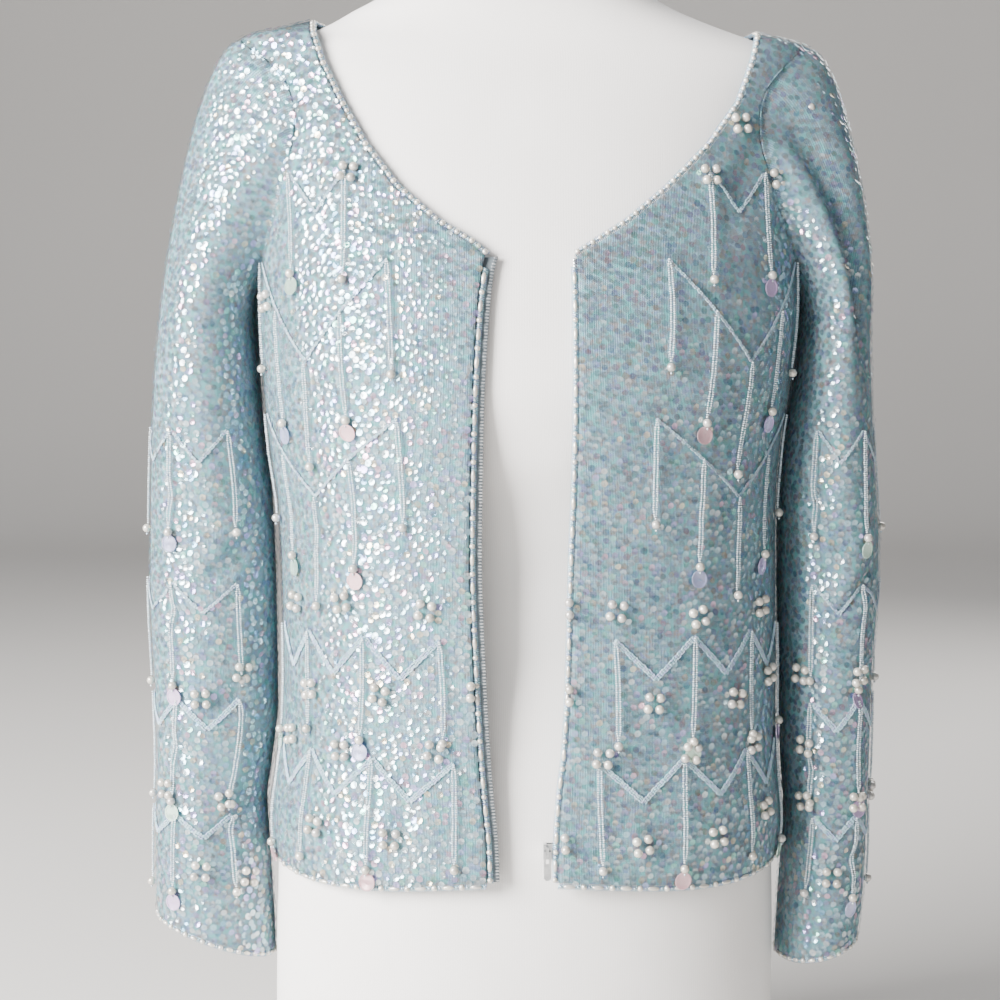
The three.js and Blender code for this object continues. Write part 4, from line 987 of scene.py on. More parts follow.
class Graph:
    """Small helper that adds and joins shader nodes."""

    def __init__(self, tree: Tree) -> None:
        """Keeps the node tree."""
        self.tree = tree

    def add(self, kind: str, settings: Optional[dict] = None, **inputs) -> Node:
        """Adds a node.

        Args:
            kind: The node's type.
            settings: Its properties.
            **inputs: Socket values or links, by socket name with underscores, or by number after "n".

        Returns:
            The node.
        """
        node = self.tree.nodes.new(kind)
        for key, value in (settings or {}).items():
            setattr(node, key, value)
        for key, value in inputs.items():
            numbered = key[0] == "n" and key[1:].isdigit()
            self.feed(node.inputs[int(key[1:]) if numbered else key.replace("_", " ")], value)
        return node

    def feed(self, socket: Socket, value) -> None:
        """Links a socket to another, or sets its value."""
        if isinstance(value, Socket):
            self.tree.links.new(value, socket)
        else:
            socket.default_value = value

    def math(self, operation: str, *values) -> Socket:
        """Result of a math node."""
        inputs = {f"n{i}": value for i, value in enumerate(values)}
        return self.add("ShaderNodeMath", {"operation": operation}, **inputs).outputs[0]

    def scaled(self, value: Socket, gain: float, base: float) -> Socket:
        """A value times a gain, plus a base."""
        return self.math("ADD", base, self.math("MULTIPLY", value, gain))

    def mix(self, share, first, second) -> Socket:
        """Mixed colour. Each colour is a socket, or red, green and blue."""
        first, second = (part if isinstance(part, Socket) else (*part, 1.0) for part in (first, second))
        return self.add("ShaderNodeMix", {"data_type": "RGBA"}, n0=share, n6=first, n7=second).outputs[2]

    def group(self, tree: Tree, **inputs) -> Node:
        """Places a shared group with its own values."""
        return self.add("ShaderNodeGroup", {"node_tree": tree}, **inputs)


def new_group(name: str, inputs: Sequence[tuple], outputs: Sequence[tuple]) -> tuple:
    """An empty shader node group with named sockets.

    Args:
        name: The group's name.
        inputs: Names, kinds and starting values of its inputs.
        outputs: Names and kinds of its outputs.

    Returns:
        The group's tree, its helper, and its input and output nodes.
    """
    tree = bpy.data.node_groups.new(name, "ShaderNodeTree")
    for title, kind, value in inputs:
        socket = tree.interface.new_socket(name=title, in_out="INPUT", socket_type=kind)
        if value is not None:
            socket.default_value = value
    for title, kind in outputs:
        tree.interface.new_socket(name=title, in_out="OUTPUT", socket_type=kind)
    return tree, Graph(tree), tree.nodes.new("NodeGroupInput"), tree.nodes.new("NodeGroupOutput")


HALF_WAVE, RIB_PITCH = 3.1416, 0.0013


class Effects:
    """Node groups that several finishes share."""

    def __init__(self) -> None:
        """Builds each group once."""
        self.knit = self._knit()
        self.cloud = self._cloud()

    @staticmethod
    def _knit() -> Tree:
        """Plain knit: columns of small V stitches."""
        tree, graph, source, result = new_group(
            "knit_stitches",
            (("Lie", "NodeSocketVector", None), ("Wale", "NodeSocketFloat", 0.0016),
             ("Course", "NodeSocketFloat", 0.0012)),
            (("Height", "NodeSocketFloat"),))
        parts = graph.add("ShaderNodeSeparateXYZ", None, n0=source.outputs["Lie"])
        across = graph.math("DIVIDE", parts.outputs[0], source.outputs["Wale"])
        along = graph.math("DIVIDE", parts.outputs[1], source.outputs["Course"])
        local = graph.math("ABSOLUTE", graph.math("SUBTRACT", graph.math("FRACT", across), 0.5))
        leg = graph.math("ABSOLUTE", graph.math("SINE", graph.math("MULTIPLY", local, 2 * HALF_WAVE)))
        phase = graph.math("ADD", along, graph.math("MULTIPLY", local, 1.3))
        stitch = graph.math("ABSOLUTE", graph.math("SINE", graph.math("MULTIPLY", phase, HALF_WAVE)))
        height = graph.math("MULTIPLY", graph.math("POWER", leg, 0.6), graph.scaled(stitch, 0.5, 0.5))
        tree.links.new(height, result.inputs["Height"])
        return tree

    @staticmethod
    def _cloud() -> Tree:
        """Soft uneven patches of a wanted size."""
        tree, graph, source, result = new_group(
            "soft_patches", (("Size", "NodeSocketFloat", 0.02), ("Detail", "NodeSocketFloat", 3.0)),
            (("Amount", "NodeSocketFloat"),))
        place = graph.add("ShaderNodeTexCoord").outputs["Object"]
        scale = graph.math("DIVIDE", 1.0, source.outputs["Size"])
        noise = graph.add("ShaderNodeTexNoise", None, Vector=place, Scale=scale,
                          Detail=source.outputs["Detail"])
        spread = graph.add("ShaderNodeMapRange", None, n0=noise.outputs["Fac"], n1=0.3, n2=0.7)
        tree.links.new(spread.outputs[0], result.inputs["Amount"])
        return tree


@dataclass(frozen=True)
class Finish:
    """Base finish: how a surface shines before its pattern is added."""

    name: str
    roughness: float
    metallic: float = 0.0
    coat: float = 0.0
    coat_roughness: float = 0.1
    sheen: float = 0.0
    specular: float = 0.5
    alpha: float = 1.0

    def start(self) -> tuple[Material, Graph, Node]:
        """A material with its plain shader set."""
        material = bpy.data.materials.new(self.name)
        material.use_nodes = True
        shader = material.node_tree.nodes["Principled BSDF"]
        for socket, value in (("Roughness", self.roughness), ("Metallic", self.metallic),
                              ("Coat Weight", self.coat), ("Coat Roughness", self.coat_roughness),
                              ("Sheen Weight", self.sheen), ("Specular IOR Level", self.specular),
                              ("Alpha", self.alpha)):
            shader.inputs[socket].default_value = value
        return material, Graph(material.node_tree), shader


class Wardrobe:
    """All finishes of the piece."""

    def __init__(self) -> None:
        """Builds the finishes."""
        self.effects = Effects()
        # Wool: the first colour is painted shade in the gaps between stitches, the second the lit stitches
        self.knit = self._knitted(
            Finish("pale_blue_wool", 0.8, sheen=0.1), srgb(58, 106, 124), srgb(176, 216, 228),
            0.0017, 0.0013, 0.0009, srgb(118, 128, 180), srgb(140, 134, 136), srgb(104, 172, 176))
        self.jersey = self._jersey()
        # Zip tape: grey-blue, its tone set darker partly as painted shade for the shadow behind the front
        # edge; the first colour is painted shade in the weave's gaps
        self.tape = self._knitted(
            Finish("charcoal_tape", 0.8, sheen=0.1), srgb(84, 94, 100), srgb(132, 144, 150),
            0.0009, 0.0007, 0.0002)
        self.sequin = self._tinted(Finish("clear_sequin", 0.2, metallic=0.9, alpha=0.5), 0.16, 0.0)
        self.pearl = self._tinted(
            Finish("ivory_pearl", 0.26, metallic=0.35, coat=1.0, coat_roughness=0.1), None, 0.3)
        self.seed = self._tinted(
            Finish("seed_bead", 0.14, coat=0.5, coat_roughness=0.05, specular=0.7), None, 0.2)
        self.paillette = self._tinted(
            Finish("pearly_paillette", 0.2, metallic=0.6, coat=0.5, coat_roughness=0.1, alpha=0.8), 0.16, 0.5)
        self.thread = self._tinted(Finish("blue_thread", 0.55, sheen=0.3), None, 0.6)
        self.metal = self._metal()
        self.floor = self._cloudy(
            Finish("pale_floor", 0.9), 1.5, 2.0, srgb(216, 213, 209), srgb(222, 219, 215))[0]

    def _knitted(self, finish: Finish, painted_gap_shade: tuple, light: tuple, wale: float, course: float,
                 depth: float, *flecks: tuple) -> Material:
        """A knit or woven finish that follows the piece's cloth coordinates.

        Args:
            finish: How it shines.
            painted_gap_shade: Colour in the gaps between stitches: painted shade in the hollows of the knit.
            light: Colour on the stitches.
            wale: Width of a stitch column in metres.
            course: Height of a stitch in metres.
            depth: Depth of the relief in metres.
            flecks: Colours of uneven flecks.

        Returns:
            The material.
        """
        material, graph, shader = finish.start()
        lie = graph.add("ShaderNodeUVMap", {"uv_map": "cloth"}).outputs[0]
        knit = graph.group(self.effects.knit, Lie=lie, Wale=wale, Course=course)
        cloud = graph.group(self.effects.cloud, Size=0.012, Detail=4.0)
        # The colour darkens towards the gaps between stitches as painted shade in the knit's hollows; the
        # soft patches vary it at random
        share = graph.math("MULTIPLY", knit.outputs["Height"],
                           graph.scaled(cloud.outputs["Amount"], 0.45, 0.55))
        colour = graph.mix(share, painted_gap_shade, light)
        for number, fleck in enumerate(flecks):
            spots = graph.group(self.effects.cloud, Size=0.0022 + 0.0011 * number, Detail=3.0)
            amount = graph.math("MULTIPLY", graph.math("POWER", spots.outputs["Amount"], 3.0), 1.9)
            colour = graph.mix(amount, colour, fleck)
        graph.feed(shader.inputs["Base Color"], colour)
        bump = graph.add("ShaderNodeBump", None, Strength=0.8, Distance=depth, Height=knit.outputs["Height"])
        graph.feed(shader.inputs["Normal"], bump.outputs[0])
        return material

    def _jersey(self) -> Material:
        """Cream jersey with fine upright ribs, their troughs darkened with painted shade."""
        material, graph, shader = Finish("cream_ribbed_jersey", 0.86, sheen=0.25).start()
        lie = graph.add("ShaderNodeUVMap", {"uv_map": "cloth"}).outputs[0]
        parts = graph.add("ShaderNodeSeparateXYZ", None, n0=lie)
        rib = graph.math("ABSOLUTE", graph.math("SINE", graph.math(
            "MULTIPLY", parts.outputs[0], HALF_WAVE / RIB_PITCH)))
        stitch = graph.group(self.effects.knit, Lie=lie, Wale=0.0011, Course=0.0009)
        cloud = graph.group(self.effects.cloud, Size=0.05, Detail=3.0)
        relief = graph.math("ADD", graph.math("POWER", rib, 0.7),
                            graph.math("MULTIPLY", stitch.outputs["Height"], 0.25))
        # Darker in the rib troughs and lighter on the ribs: painted shade in the ribs' hollows, with soft
        # random patches
        share = graph.math("MULTIPLY", graph.scaled(rib, 0.28, 0.72),
                           graph.scaled(cloud.outputs["Amount"], 0.2, 0.8))
        graph.feed(shader.inputs["Base Color"], graph.mix(share, srgb(228, 222, 217), srgb(249, 246, 243)))
        bump = graph.add("ShaderNodeBump", None, Strength=0.3, Distance=0.00018, Height=relief)
        graph.feed(shader.inputs["Normal"], bump.outputs[0])
        return material

    def _tinted(self, finish: Finish, hole: Optional[float], patches: float) -> Material:
        """A small shiny finish whose colour comes with each bead.

        Args:
            finish: How it shines.
            hole: Size of the stitched middle as a share, or nothing.
            patches: How strongly uneven patches show.

        Returns:
            The material.
        """
        material, graph, shader = finish.start()
        tint = graph.add("ShaderNodeAttribute", {"attribute_name": "tint"})
        cloud = graph.group(self.effects.cloud, Size=0.003, Detail=2.0)
        amount = graph.math("MULTIPLY", cloud.outputs["Amount"], patches * 0.5)
        colour = graph.mix(amount, tint.outputs["Color"], srgb(250, 246, 240))
        if hole is not None:
            inside = graph.add("ShaderNodeMapRange", None, n0=tint.outputs["Alpha"], n1=0.0, n2=hole)
            colour = graph.mix(inside.outputs[0], srgb(120, 150, 166), colour)
        graph.feed(shader.inputs["Base Color"], colour)
        return material

    def _cloudy(self, finish: Finish, size: float, detail: float, first: tuple,
                second: tuple) -> tuple[Material, Graph, Node, Socket]:
        """A finish of two colours in soft patches, with its parts and the patches' amount."""
        material, graph, shader = finish.start()
        amount = graph.group(self.effects.cloud, Size=size, Detail=detail).outputs["Amount"]
        graph.feed(shader.inputs["Base Color"], graph.mix(amount, first, second))
        return material, graph, shader, amount

    def _metal(self) -> Material:
        """Bright zip metal with fine wear."""
        material, graph, shader, amount = self._cloudy(
            Finish("zip_metal", 0.28, metallic=1.0), 0.004, 4.0, srgb(184, 187, 190), srgb(220, 221, 221))
        graph.feed(shader.inputs["Roughness"], graph.scaled(amount, 0.12, 0.24))
        return material


# Stitched lines: name, height, rise to the low points, first and last share, waves and loop rule
BODY_LINES = {
    "front": (("yoke", 606, -24, 0.36, 0.56, 1, "peaks"), ("bust", 553, -60, 0.24, 0.76, 1, "all"),
              ("waist", 460, -48, 0.22, 0.8, 1, "all"), ("hip", 329, -24, 0.12, 0.8, 3, "peaks"),
              ("hem", 256, -24, 0.08, 0.78, 3, "peaks")),
    "back": (("yoke", 628, -30, 0.27, 0.73, 2, "peaks"), ("bust", 545, -48, 0.14, 0.86, 3, "ends"),
             ("waist", 458, -48, 0.12, 0.88, 3, "ends"), ("hip", 329, -24, 0.12, 0.88, 5, "peaks"),
             ("hem", 256, -24, 0.12, 0.88, 5, "peaks")),
}
SLEEVE_LINES = (("upper", 450, -20, 0, 1, 4, "peaks"), ("elbow", 354, -18, 0, 1, 4, "peaks"),
                ("fore", 280, -18, 0, 1, 4, "peaks"), ("cuff", 206, -14, 0, 1, 4, "peaks"))
CUFF_LOOP, BODY_LOOP = 46.0, 61.0
# Where the stitched lines start: distance from the centre line, and turns round a sleeve
EDGE_MIDDLE, SLEEVE_LINE_ENDS = 25.0, (62, 298)
BOLD_LINES = ("hip", "hem", "fore", "cuff")

# Colours: sequins, tinted sequins, pearls, seed beads, edging seeds, paillettes, bold and faint thread
PALE = np.array([srgb(204, 232, 242), srgb(228, 242, 248), srgb(184, 222, 236), srgb(240, 248, 250)])
TINTS = np.array([srgb(200, 186, 244), srgb(244, 196, 222), srgb(168, 238, 220), srgb(252, 236, 206),
                  srgb(132, 180, 214), srgb(186, 200, 250)])
IVORY = np.array([srgb(216, 211, 198), srgb(208, 201, 188), srgb(226, 220, 208), srgb(202, 198, 192)])
BEAD = np.array([srgb(206, 220, 226), srgb(222, 232, 236), srgb(190, 208, 220)])
TRIM = np.array([srgb(160, 186, 200), srgb(178, 200, 212), srgb(142, 170, 186)])
DISC = np.array([srgb(224, 196, 242), srgb(246, 200, 208), srgb(208, 240, 224), srgb(200, 206, 246)])
THREAD = np.array([srgb(136, 182, 200), srgb(150, 194, 208), srgb(150, 170, 208)])
FAINT = np.array([srgb(128, 170, 186), srgb(142, 182, 196), srgb(136, 156, 186)])


UPWARD = np.array([[0, 0, 1.0]])
TRIES_PER_SPOT = 4.0


@dataclass(frozen=True)
class StitchedLine:
    """A zigzag line of chain stitch, with the spots where its loops hang."""

    name: str
    corners: Array
    roots: Array
    loop: float
    bold: bool

    @classmethod
    def of(cls, row: tuple, angle_at: Callable, loop: float) -> "StitchedLine":
        """Places one line.

        Args:
            row: Name, height, rise to the low points, first and last share, waves and loop rule.
            angle_at: Gives the angle at a share and a height.
            loop: Length of its loops.

        Returns:
            The placed line.
        """
        name, height, rise, start, end, waves, loops = row
        steps = waves * 2
        share = start + (end - start) * np.arange(steps + 1) / steps
        level = height + np.where(np.arange(steps + 1) % 2 == 0, 0, rise)
        spots = []
        for k in range(steps + 1):
            if k % 2 == 0 or loops != "peaks":
                spots.append((share[k], level[k]))
            if loops == "all" and k < steps:
                spots.append(((share[k] + share[k + 1]) / 2, (level[k] + level[k + 1]) / 2))
        spots = np.array(spots, float)
        corners = np.stack([level, angle_at(share, level)], 1)
        roots = np.stack([spots[:, 1], angle_at(spots[:, 0], spots[:, 1])], 1)
        return cls(name, corners, roots, loop, name in BOLD_LINES)


def front_angle(side: Side) -> Callable:
    """Gives the angle at a share of a front's width."""
    def at(share: Array, height: Array) -> Array:
        """Angle from shares and heights."""
        edge = quarter_angle(height, side, Facing.FRONT, 0, EDGE_MIDDLE)
        return round_angle(side, Facing.FRONT, edge * (1 - share))
    return at


def back_angle(share: Array, _height: Array) -> Array:
    """Angle at a share of the back's width."""
    return -np.pi * np.asarray(share)


def sleeve_turn(share: Array, _height: Array) -> Array:
    """Turn round a sleeve at a share of its stitched line."""
    start, end = SLEEVE_LINE_ENDS
    return np.radians(start + (end - start) * np.asarray(share))


class Beadwork:
    """Chain stitch, hanging loops, pearl clusters and sequins of one panel."""

    # Millimetres. A clear distance keeps sequins away from what is sewn over the cloth.
    STITCH_STEP, STITCH_RISE, STITCH_SIZE, STITCH_POINTS = 1.9, 0.9, (1.35, 0.6, 0.62), 24
    STITCH_LEAN, STITCH_SWAY = 0.3, 0.12
    BOLD_ROWS, FAINT_ROWS = (-1.15, 0.0, 1.15), (-0.45, 0.45)
    BOLD_CLEAR, FAINT_CLEAR, LOOP_CLEAR, PEARL_CLEAR, PEARL_SINK = 1.9, 1.0, 2.7, 3.2, 1.8
    LOOP_RISE, LOOP_HALF, LOOP_TURN, LOOP_POINTS, LOOP_SINK = 2.5, 1.05, 5, 30, 1.4
    SEED_STEP, SEED_SIZE, SEED_JITTER = 1.36, (0.72, 0.78, 0.78), 0.07
    TIP_DROP, TIP_RISE, TIP_PEARL, KNOT_DROP, KNOT_BEAD = 2.9, 3.3, 2.8, 3.5, 0.8
    DISC_DROP, DISC_RISE, DISC_RADIUS, DISC_TILT = 10.4, 2.4, 5.4, 0.12
    CLUSTER_RISE, CLUSTER_HALF, CLUSTER_PEARL, CLUSTER_JITTER = 2.9, 3.6, 2.85, 0.15
    SEQUIN_STEP, SEQUIN_RADIUS, SEQUIN_TILT, PLAIN_SHARE = 3.36, 2.06, (0.34, 0.17), 0.62

    def __init__(self, shapes: SmallShapes, wardrobe: Wardrobe, panel: "Panel") -> None:
        """Keeps what it needs of the panel."""
        self.shapes, self.wardrobe, self.name = shapes, wardrobe, panel.name
        self.skin, self.grid, self.lines, self.clusters = panel.skin, panel.grid, panel.lines, panel.clusters
        self.random = np.random.default_rng(panel.seed)
        self.busy: list = []

    def pick(self, colours: Array, count: int, low: float = 0.86) -> Array:
        """Colours chosen at random, a little lighter or darker each."""
        chosen = colours[self.random.integers(0, len(colours), count)]
        return np.clip(chosen * self.random.uniform(low, 1.1, (count, 1)), 0, 1)

    def stitching(self) -> Piece:
        """Chain-stitched zigzags."""
        scatter = Scatter()
        for line in self.lines:
            rows, clear, colours = ((self.BOLD_ROWS, self.BOLD_CLEAR, THREAD) if line.bold
                                    else (self.FAINT_ROWS, self.FAINT_CLEAR, FAINT))
            for (h0, a0), (h1, a1) in zip(line.corners[:-1], line.corners[1:]):
                t = np.linspace(0, 1, self.STITCH_POINTS)
                points, normals = self.skin.frame(h0 + (h1 - h0) * t, a0 + (a1 - a0) * t, self.STITCH_RISE)
                self.busy.append((points, clear))
                spots, run, up = path_spots(points, normals, self.STITCH_STEP)
                side = unit(np.cross(up, run))
                lean = np.where(np.arange(len(spots)) % 2 == 0, self.STITCH_LEAN, -self.STITCH_LEAN)[:, None]
                for shift in rows:
                    sway = self.random.normal(0, self.STITCH_SWAY, (len(spots), 1)) + shift
                    axes = axes_along(unit(run) + side * lean, up)
                    scatter.add(self.shapes.stitch, spots + side * sway, axes, self.STITCH_SIZE,
                                self.pick(colours, len(spots)))
        return scatter.piece(f"stitch_{self.name}", self.wardrobe.thread)

    def _spot(self, height: float, angle: float, rise: float) -> tuple[Array, Array]:
        """One point over the cloth and its normal, each of shape (1, 3)."""
        return self.skin.frame(np.array([height]), np.array([angle]), rise)

    def _loop(self, root: Array, length: float, disc: bool, made: Sequence[Scatter]) -> None:
        """Hangs one loop.

        Args:
            root: Height and angle where it hangs.
            length: Its usual length.
            disc: Whether a paillette hangs below its pearl.
            made: Seed beads, pearls and paillettes so far.
        """
        beads, ends, discs = made
        height, angle = root
        length *= self.random.uniform(0.94, 1.06)
        slant = self.random.uniform(-2.6, 2.6)
        bow = self.random.uniform(-1.0, 1.0)
        down = np.linspace(0, length, self.LOOP_POINTS)
        ends_in = np.minimum(down / self.LOOP_TURN, (length - down) / self.LOOP_TURN)
        spread = self.LOOP_HALF * np.minimum(1, ends_in)
        centre, normals = self.skin.frame(height - down, angle, self.LOOP_RISE)
        side = unit(np.cross(np.gradient(centre, axis=0), normals))
        sway = slant * down / length + bow * np.sin(np.pi * down / length)
        centre = centre + side * sway[:, None]
        for sign in (-1, 1):
            path = centre + side * (sign * spread)[:, None]
            spots, direction, up = path_spots(path, normals, self.SEED_STEP)
            jitter = self.random.normal(0, self.SEED_JITTER, (len(spots), 3))
            size = np.array(self.SEED_SIZE) * self.random.uniform(0.88, 1.08, (len(spots), 1))
            beads.add(self.shapes.seed, spots + jitter, axes_along(direction, up), size,
                      self.pick(BEAD, len(spots)))
        tip, normal = self._spot(height - length - self.TIP_DROP, angle, self.TIP_RISE)
        tip = tip + side[-1] * slant
        across = side[-1][None]
        axes = axes_along(across, normal)
        ends.add(self.shapes.pearl, tip, axes, (self.TIP_PEARL,) * 3, self.pick(IVORY, 1))
        ends.add(self.shapes.seed, tip + np.array([[0, 0, -self.KNOT_DROP]]), axes, (self.KNOT_BEAD,) * 3,
                 self.pick(BEAD, 1))
        if disc:
            low, flat = self._spot(height - length - self.DISC_DROP, angle, self.DISC_RISE)
            tilt = unit(flat + self.random.normal(0, self.DISC_TILT, (1, 3)))
            discs.add(self.shapes.paillette, low + side[-1] * slant, axes_along(across, tilt),
                      (self.DISC_RADIUS,) * 3, self.pick(DISC, 1))
        self.busy.append((centre[::2] - normals[::2] * self.LOOP_SINK, self.LOOP_CLEAR))

    def loops(self) -> list:
        """Hanging loops of seed beads with their pearls and paillettes."""
        beads, ends, discs = Scatter(), Scatter(), Scatter()
        for line in self.lines:
            for number, root in enumerate(line.roots):
                self._loop(root, line.loop, number % 2 == 1, (beads, ends, discs))
        made = [beads.piece(f"loops_{self.name}", self.wardrobe.seed),
                ends.piece(f"loop_pearls_{self.name}", self.wardrobe.pearl)]
        if discs.count:
            made.append(discs.piece(f"paillettes_{self.name}", self.wardrobe.paillette, smooth=False))
        return made

    def pearls(self) -> Optional[Piece]:
        """Clusters of ivory pearls."""
        scatter = Scatter()
        half = self.CLUSTER_HALF
        for height, angle, count in self.clusters:
            centre, normal = self._spot(height, angle, self.CLUSTER_RISE)
            self.busy.append((centre - normal * self.PEARL_SINK, self.PEARL_CLEAR))
            across = unit(np.cross(UPWARD, normal))
            rise = np.cross(normal, across)
            turn = self.random.uniform(-0.25, 0.25)
            layout = ((0, 1), (0, -1)) if count == 2 else ((-1, 1), (1, 1), (-1, -1), (1, -1))
            spots = [centre[0] + across[0] * (half * column * np.cos(turn) - half * row * np.sin(turn))
                     + rise[0] * (half * column * np.sin(turn) + half * row * np.cos(turn))
                     for column, row in layout[:count]]
            spots = np.array(spots) + self.random.normal(0, self.CLUSTER_JITTER, (len(spots), 3))
            axes = np.broadcast_to(axes_along(across, normal), (len(spots), 3, 3))
            scatter.add(self.shapes.pearl, spots, axes, (self.CLUSTER_PEARL,) * 3,
                        self.pick(IVORY, len(spots)))
            self.busy.append((spots - normal * self.PEARL_SINK, self.PEARL_CLEAR))
        return scatter.piece(f"pearls_{self.name}", self.wardrobe.pearl) if scatter.count else None

    def sequins(self) -> Piece:
        """Small cupped sequins all over the panel, each tilted its own way."""
        points, normals = evenly_strewn(self.grid, self.SEQUIN_STEP, self.random)
        reach = np.concatenate([np.full(len(spots), clear) for spots, clear in self.busy])
        tree = point_tree(np.concatenate([spots for spots, _ in self.busy]))
        clear = np.array([gap > reach[index] for _, index, gap in map(tree.find, points)])
        points, normals = points[clear], normals[clear]
        count = len(points)
        across = unit(np.cross(UPWARD, normals) + 1e-6)
        rise = np.cross(normals, across)
        tilt = self.random.normal(0, 1, (count, 2)) * self.SEQUIN_TILT
        leaning = unit(normals + across * tilt[:, :1] + rise * (tilt[:, 1:] + 0.05))
        size = self.SEQUIN_RADIUS * self.random.uniform(0.88, 1.1, (count, 1)) * np.ones((1, 3))
        lift = self.random.uniform(0.5, 0.95, (count, 1)) + 1.3 * np.abs(tilt[:, :1])
        plain = self.random.random(count) < self.PLAIN_SHARE
        tint = np.where(plain[:, None], self.pick(PALE, count, 0.55), self.pick(TINTS, count, 0.5))
        scatter = Scatter()
        scatter.add(self.shapes.sequin, points + normals * lift, axes_along(across, leaning), size, tint)
        return scatter.piece(f"sequins_{self.name}", self.wardrobe.sequin, smooth=False)


def point_tree(points: Array) -> KDTree:
    """A search tree of points."""
    tree = KDTree(len(points))
    for index, point in enumerate(points):
        tree.insert(point, index)
    tree.balance()
    return tree


def evenly_strewn(grid: Grid, spacing: float, random: np.random.Generator) -> tuple[Array, Array]:
    """Points over a grid that keep at least a wanted distance.

    Args:
        grid: The surface.
        spacing: Least distance.
        random: Source of random numbers.

    Returns:
        Points and normals.
    """
    points, normals = grid.points, grid.normals
    if grid.closed:
        points, normals = (np.concatenate([part, part[:, :1]], 1) for part in (points, normals))
    rows, columns = points.shape[0] - 1, points.shape[1] - 1
    corners, facing = [], []
    for triangle in (((0, 0), (0, 1), (1, 1)), ((0, 0), (1, 1), (1, 0))):
        cut = [np.s_[j:rows + j, i:columns + i] for j, i in triangle]
        corners.append(np.stack([points[part].reshape(-1, 3) for part in cut], 1))
        facing.append(np.stack([normals[part].reshape(-1, 3) for part in cut], 1))
    corners, facing = np.concatenate(corners), np.concatenate(facing)
    size = np.linalg.norm(np.cross(corners[:, 1] - corners[:, 0], corners[:, 2] - corners[:, 0]), axis=1)
    count = int(size.sum() / 2 / spacing**2 * TRIES_PER_SPOT)
    pick = random.choice(len(size), count, p=size / size.sum())
    a, b = random.random(count), random.random(count)
    over = a + b > 1
    a, b = np.where(over, 1 - a, a), np.where(over, 1 - b, b)
    weight = np.stack([1 - a - b, a, b], 1)
    found = np.einsum("kc,kcd->kd", weight, corners[pick])
    normal = unit(np.einsum("kc,kcd->kd", weight, facing[pick]))
    tree = point_tree(found)
    taken = np.zeros(count, bool)
    keep = []
    for index in range(count):
        if not taken[index]:
            keep.append(index)
            for _, other, _ in tree.find_range(found[index], spacing):
                taken[other] = True
    return found[keep], normal[keep]


class Edging:
    """Pearls and long beads along an edge of the cloth."""

    LONG_RADIUS, SEED_LENGTH, SEED_WIDTH, SEED_MOST = 1.4, 0.92, 1.1, 0.95
    OVERCAST_STEP, OVERCAST_SIZE, OVERCAST_LEAN, OVERCAST_SINK = 1.15, (2.3, 0.62, 0.6), 0.35, 0.9

    def __init__(self, shapes: SmallShapes, seed: int) -> None:
        """Keeps the small shapes."""
        self.shapes = shapes
        self.random = np.random.default_rng(seed)

    def run(self, scatter: Scatter, path: Array, normals: Array, unit_length: float,
            pearl: float, long_bead: float) -> None:
        """Adds one run of edging.

        Args:
            scatter: The edging's mesh so far.
            path: Middle line of the edging.
            normals: The cloth's normals along it.
            unit_length: Length of one repeat.
            pearl: Radius of its pearl.
            long_bead: Half length of its long bead.
        """
        spots, _, facing = path_spots(path, normals, unit_length)
        lengths = running_length(path)
        step = lengths[-1] / len(spots)

        def at(share: float) -> Array:
            """Points at a share of every repeat."""
            return read_along(path, lengths, (np.arange(len(spots)) + share) * step)

        def put(pattern: Pattern, middle: float, size: tuple, colours: Array) -> None:
            """One bead in every repeat, with its middle this far along."""
            share = middle / step
            places = at(share)
            run = at(min(share + 0.02, 1)) - at(max(share - 0.02, 0))
            tint = colours[self.random.integers(0, len(colours), len(places))]
            scatter.add(pattern, places, axes_along(run, facing), size, tint)

        small = (step - 2 * pearl - 2 * long_bead) / 4
        seed = (small * self.SEED_LENGTH,) + (min(small * self.SEED_WIDTH, self.SEED_MOST),) * 2
        put(self.shapes.pearl, pearl, (pearl,) * 3, IVORY)
        put(self.shapes.seed, 2 * pearl + small, seed, TRIM)
        put(self.shapes.pearl, 2 * pearl + 2 * small + long_bead,
            (long_bead, self.LONG_RADIUS, self.LONG_RADIUS), IVORY)
        put(self.shapes.seed, step - small, seed, TRIM)
        places, direction, up = path_spots(path, normals, self.OVERCAST_STEP)
        lean = unit(unit(np.cross(up, direction)) + unit(direction) * self.OVERCAST_LEAN)
        scatter.add(self.shapes.stitch, places - up * self.OVERCAST_SINK, axes_along(lean, up),
                    self.OVERCAST_SIZE, THREAD[self.random.integers(0, len(THREAD), len(places))])


def edge_line(grid: Grid, line: tuple, inside: tuple) -> tuple[Array, Array]:
    """Middle line of the edging outside a border.

    Args:
        grid: The panel.
        line: Slice of the grid along the border.
        inside: The same for its neighbours within the panel.

    Returns:
        The middle line and the normals along it.
    """
    border, normals, within = grid.points[line], grid.normals[line], grid.points[inside]
    out = np.cross(unit(np.gradient(border, axis=0)), normals)
    out = unit(out * np.sign((out * (border - within)).sum(-1, keepdims=True)))
    for _ in range(2):
        out[1:-1] = unit(out[:-2] + out[1:-1] + out[2:])
    return border + out * EDGING_OUT - normals * EDGING_BELOW, normals


